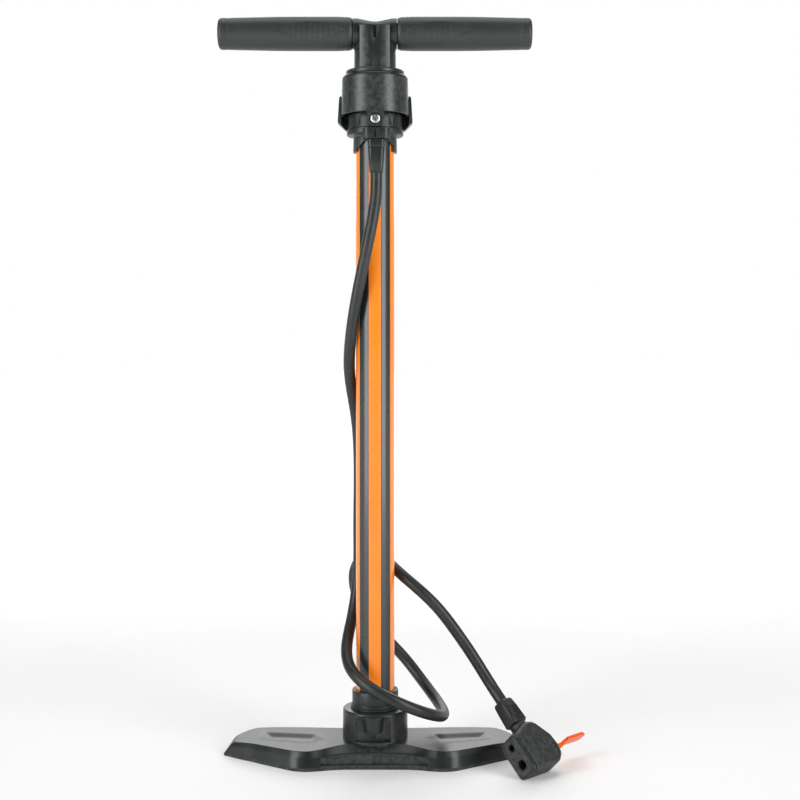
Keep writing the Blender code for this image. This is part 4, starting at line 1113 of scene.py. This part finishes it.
def make_lever():
    side = (
        (1.8, 3.4), (-1.8, 3.4), (-3.6, 1.6), (-3.6, -4), (-2.4, -10), (-0.6, -19), (2.6, -26.6),
        (2.9, -30), (5.4, -30), (5.4, -25.6), (3.2, -20), (3.2, -8), (3.6, -5), (5.2, -2.6),
        (5.2, 0.3), (3.6, 2.6),
    )
    radii = (1, 1, 1.5, 3, 4, 4, 1, 0, 0, 3, 3, 2, 1.5, 1, 1.5, 1)
    lever = Shape("flip_lever", slab_mm(filleted(side, radii, 4), 2.9), LEVER)
    half = ((4.6, -28.2), (5.5, -30.2), (5.5, -50), (3.2, -55))
    paddle = filleted(mirrored(half), (1, 2, 3, 2, 2, 3, 2, 1), 5)
    lever.join(lofted([[Vector((x, y, z)) * MM for x, z in paddle] for y in (3, 5.6)]), LEVER)
    lever.cut(rod_mm(LEVER_PIN_BORE_R, -14, 14, 32), LEVER_PIN)
    # Finger grooves across the paddle
    first, step, wide = -36.5, 3.4, 1.3
    for i in range(4):
        z = first - step * i
        lever.cut(box_mm((-3.6, 5.2, z), (3.6, 7, z + wide)), LEVER)
    lever.bevel(0.5 * MM, 3, 38)
    flip = lever.done("lever", "lever", "lever_orange", "lever")

    pin = Shape("lever_axle", turned_mm((
        (0, -9.6), (1.3, -9.6), (1.5, -9.4), (1.5, 9.4), (1.3, 9.6), (0, 9.6),
    ), 48), LEVER_PIN)
    return [flip, pin.done("steel", "root", "steel", "lever_pin")]


# ---- kept nodes and studio


def finish_kept_nodes():
    """Better materials on the nodes whose CAD shape stays."""
    wanted = {
        "rubber": (
            "base_seal_ring", "check_valve_poppet", "rod_wiper_seal", "cylinder_top_seal", "piston_cup_seal",
            "rod_bumper", "small_valve_grommet", "large_valve_grommet",
        ),
        "steel": (
            "inner_cylinder", "check_valve_spring", "rod_nut", "handle_pin", "foot_screw_left",
            "foot_screw_right",
        ),
        "brass": (
            "check_valve_seat", "check_valve_plug", "rod_guide_bush", "gauge_bourdon_tube", "hose_barb",
            "head_plunger", "head_barb",
        ),
        "collar": ("cylinder_head", "piston_body"),
    }
    for finish, names in wanted.items():
        for name in names:
            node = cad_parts[name]
            node.data.materials.clear()
            node.data.materials.append(MATERIALS[finish])


def make_floor():
    """A wide pale floor that brightens with distance, so that it meets the backdrop without a line."""
    bm = bmesh.new()
    bmesh.ops.create_circle(bm, cap_ends=True, segments=96, radius=FLOOR_RADIUS)
    mesh = bpy.data.meshes.new("floor")
    bm.to_mesh(mesh)
    bm.free()
    floor = linked("floor", mesh)
    near, far, near_glow, far_glow, patch = 0.5, 3, 0.08, 0.95, 0.4
    f = Finish("pale_floor")
    f.set(Base_Color=f.mix(f.noise(patch, 3), (0.84, 0.84, 0.84, 1), (0.88, 0.88, 0.88, 1)), Roughness=0.7)
    distance = f.add("VectorMath", {"Vector": f.place}, operation="LENGTH").outputs["Value"]
    glow = f.ramp(distance, near, far, near_glow, far_glow)
    f.set(Emission_Color=(1, 1, 1, 1), Emission_Strength=glow)
    mesh.materials.append(f.material)


def softbox(name, azimuth_deg, distance, height, width, tall, watts):
    """A lit panel that faces the pump; azimuth 0 is on the camera's side, and it grows to the right."""
    turn = radians(azimuth_deg)
    lamp = bpy.data.lights.new(name, "AREA")
    lamp.shape = "RECTANGLE"
    lamp.size = width
    lamp.size_y = tall
    lamp.energy = watts
    made = linked(name, lamp)
    made.visible_camera = False
    made.location = Vector((distance * sin(turn), -distance * cos(turn), height))
    aim = LAMPS_AIM_AT - made.location
    made.rotation_euler = aim.to_track_quat("-Z", "Y").to_euler()


def make_backdrop():
    """A white surround that gives little light of its own, and most of it from behind the pump."""
    world = bpy.data.worlds.new("studio")
    world.use_nodes = True
    tree = world.node_tree
    background = tree.nodes["Background"]
    background.inputs["Color"].default_value = (1, 1, 1, 1)
    split = tree.nodes.new("ShaderNodeSeparateXYZ")
    tree.links.new(tree.nodes.new("ShaderNodeTexCoord").outputs["Generated"], split.inputs["Vector"])
    from_behind = tree.nodes.new("ShaderNodeMapRange")
    values = {"From Min": 0.1, "From Max": 0.9, "To Min": 0.05, "To Max": 0.7}
    for name, value in values.items():
        from_behind.inputs[name].default_value = value
    tree.links.new(split.outputs["Y"], from_behind.inputs["Value"])
    seen = tree.nodes.new("ShaderNodeMath")
    seen.operation = "MAXIMUM"
    tree.links.new(tree.nodes.new("ShaderNodeLightPath").outputs["Is Camera Ray"], seen.inputs[0])
    tree.links.new(from_behind.outputs["Result"], seen.inputs[1])
    tree.links.new(seen.outputs["Value"], background.inputs["Strength"])
    bpy.context.scene.world = world


def make_studio():
    make_floor()
    for name, *lamp in (
        ("left_softbox", -52, 1.9, 0.75, 0.9, 2.2, 33),
        ("right_softbox", 52, 1.9, 0.75, 0.9, 2.2, 33),
        ("top_softbox", 180, 0.3, 2.2, 1.6, 1.2, 12),
        ("back_softbox", 180, 1.9, 1.3, 1.8, 1.4, 18),
    ):
        softbox(name, *lamp)
    make_backdrop()
    bpy.context.scene.view_settings.view_transform = "Standard"


def make_camera():
    lens = bpy.data.cameras.new("camera")
    lens.lens = CAMERA_LENS
    lens.sensor_width = SENSOR_WIDTH
    lens.shift_x, lens.shift_y = CAMERA_SHIFT
    camera = linked("camera", lens)
    camera.location = CAMERA_AT
    camera.rotation_euler = (pi / 2 - CAMERA_PITCH, 0, 0)
    bpy.context.scene.camera = camera


def main():
    make_camera()
    hose, length = make_hose()
    relief = make_strain_relief()
    on_it = [make_ferrule()] + make_head() + make_lever()
    inner = ("small_valve_grommet", "large_valve_grommet", "head_plunger", "head_barb", "hose_barb")
    on_it += [relief] + [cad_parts[name] for name in inner]
    for make in (
        make_foot, make_port_plug, make_base_sleeve, make_barrel, make_collar, make_cover, make_gauge,
        make_handle, make_grips, make_rod, finish_kept_nodes, make_studio,
    ):
        make()


main()
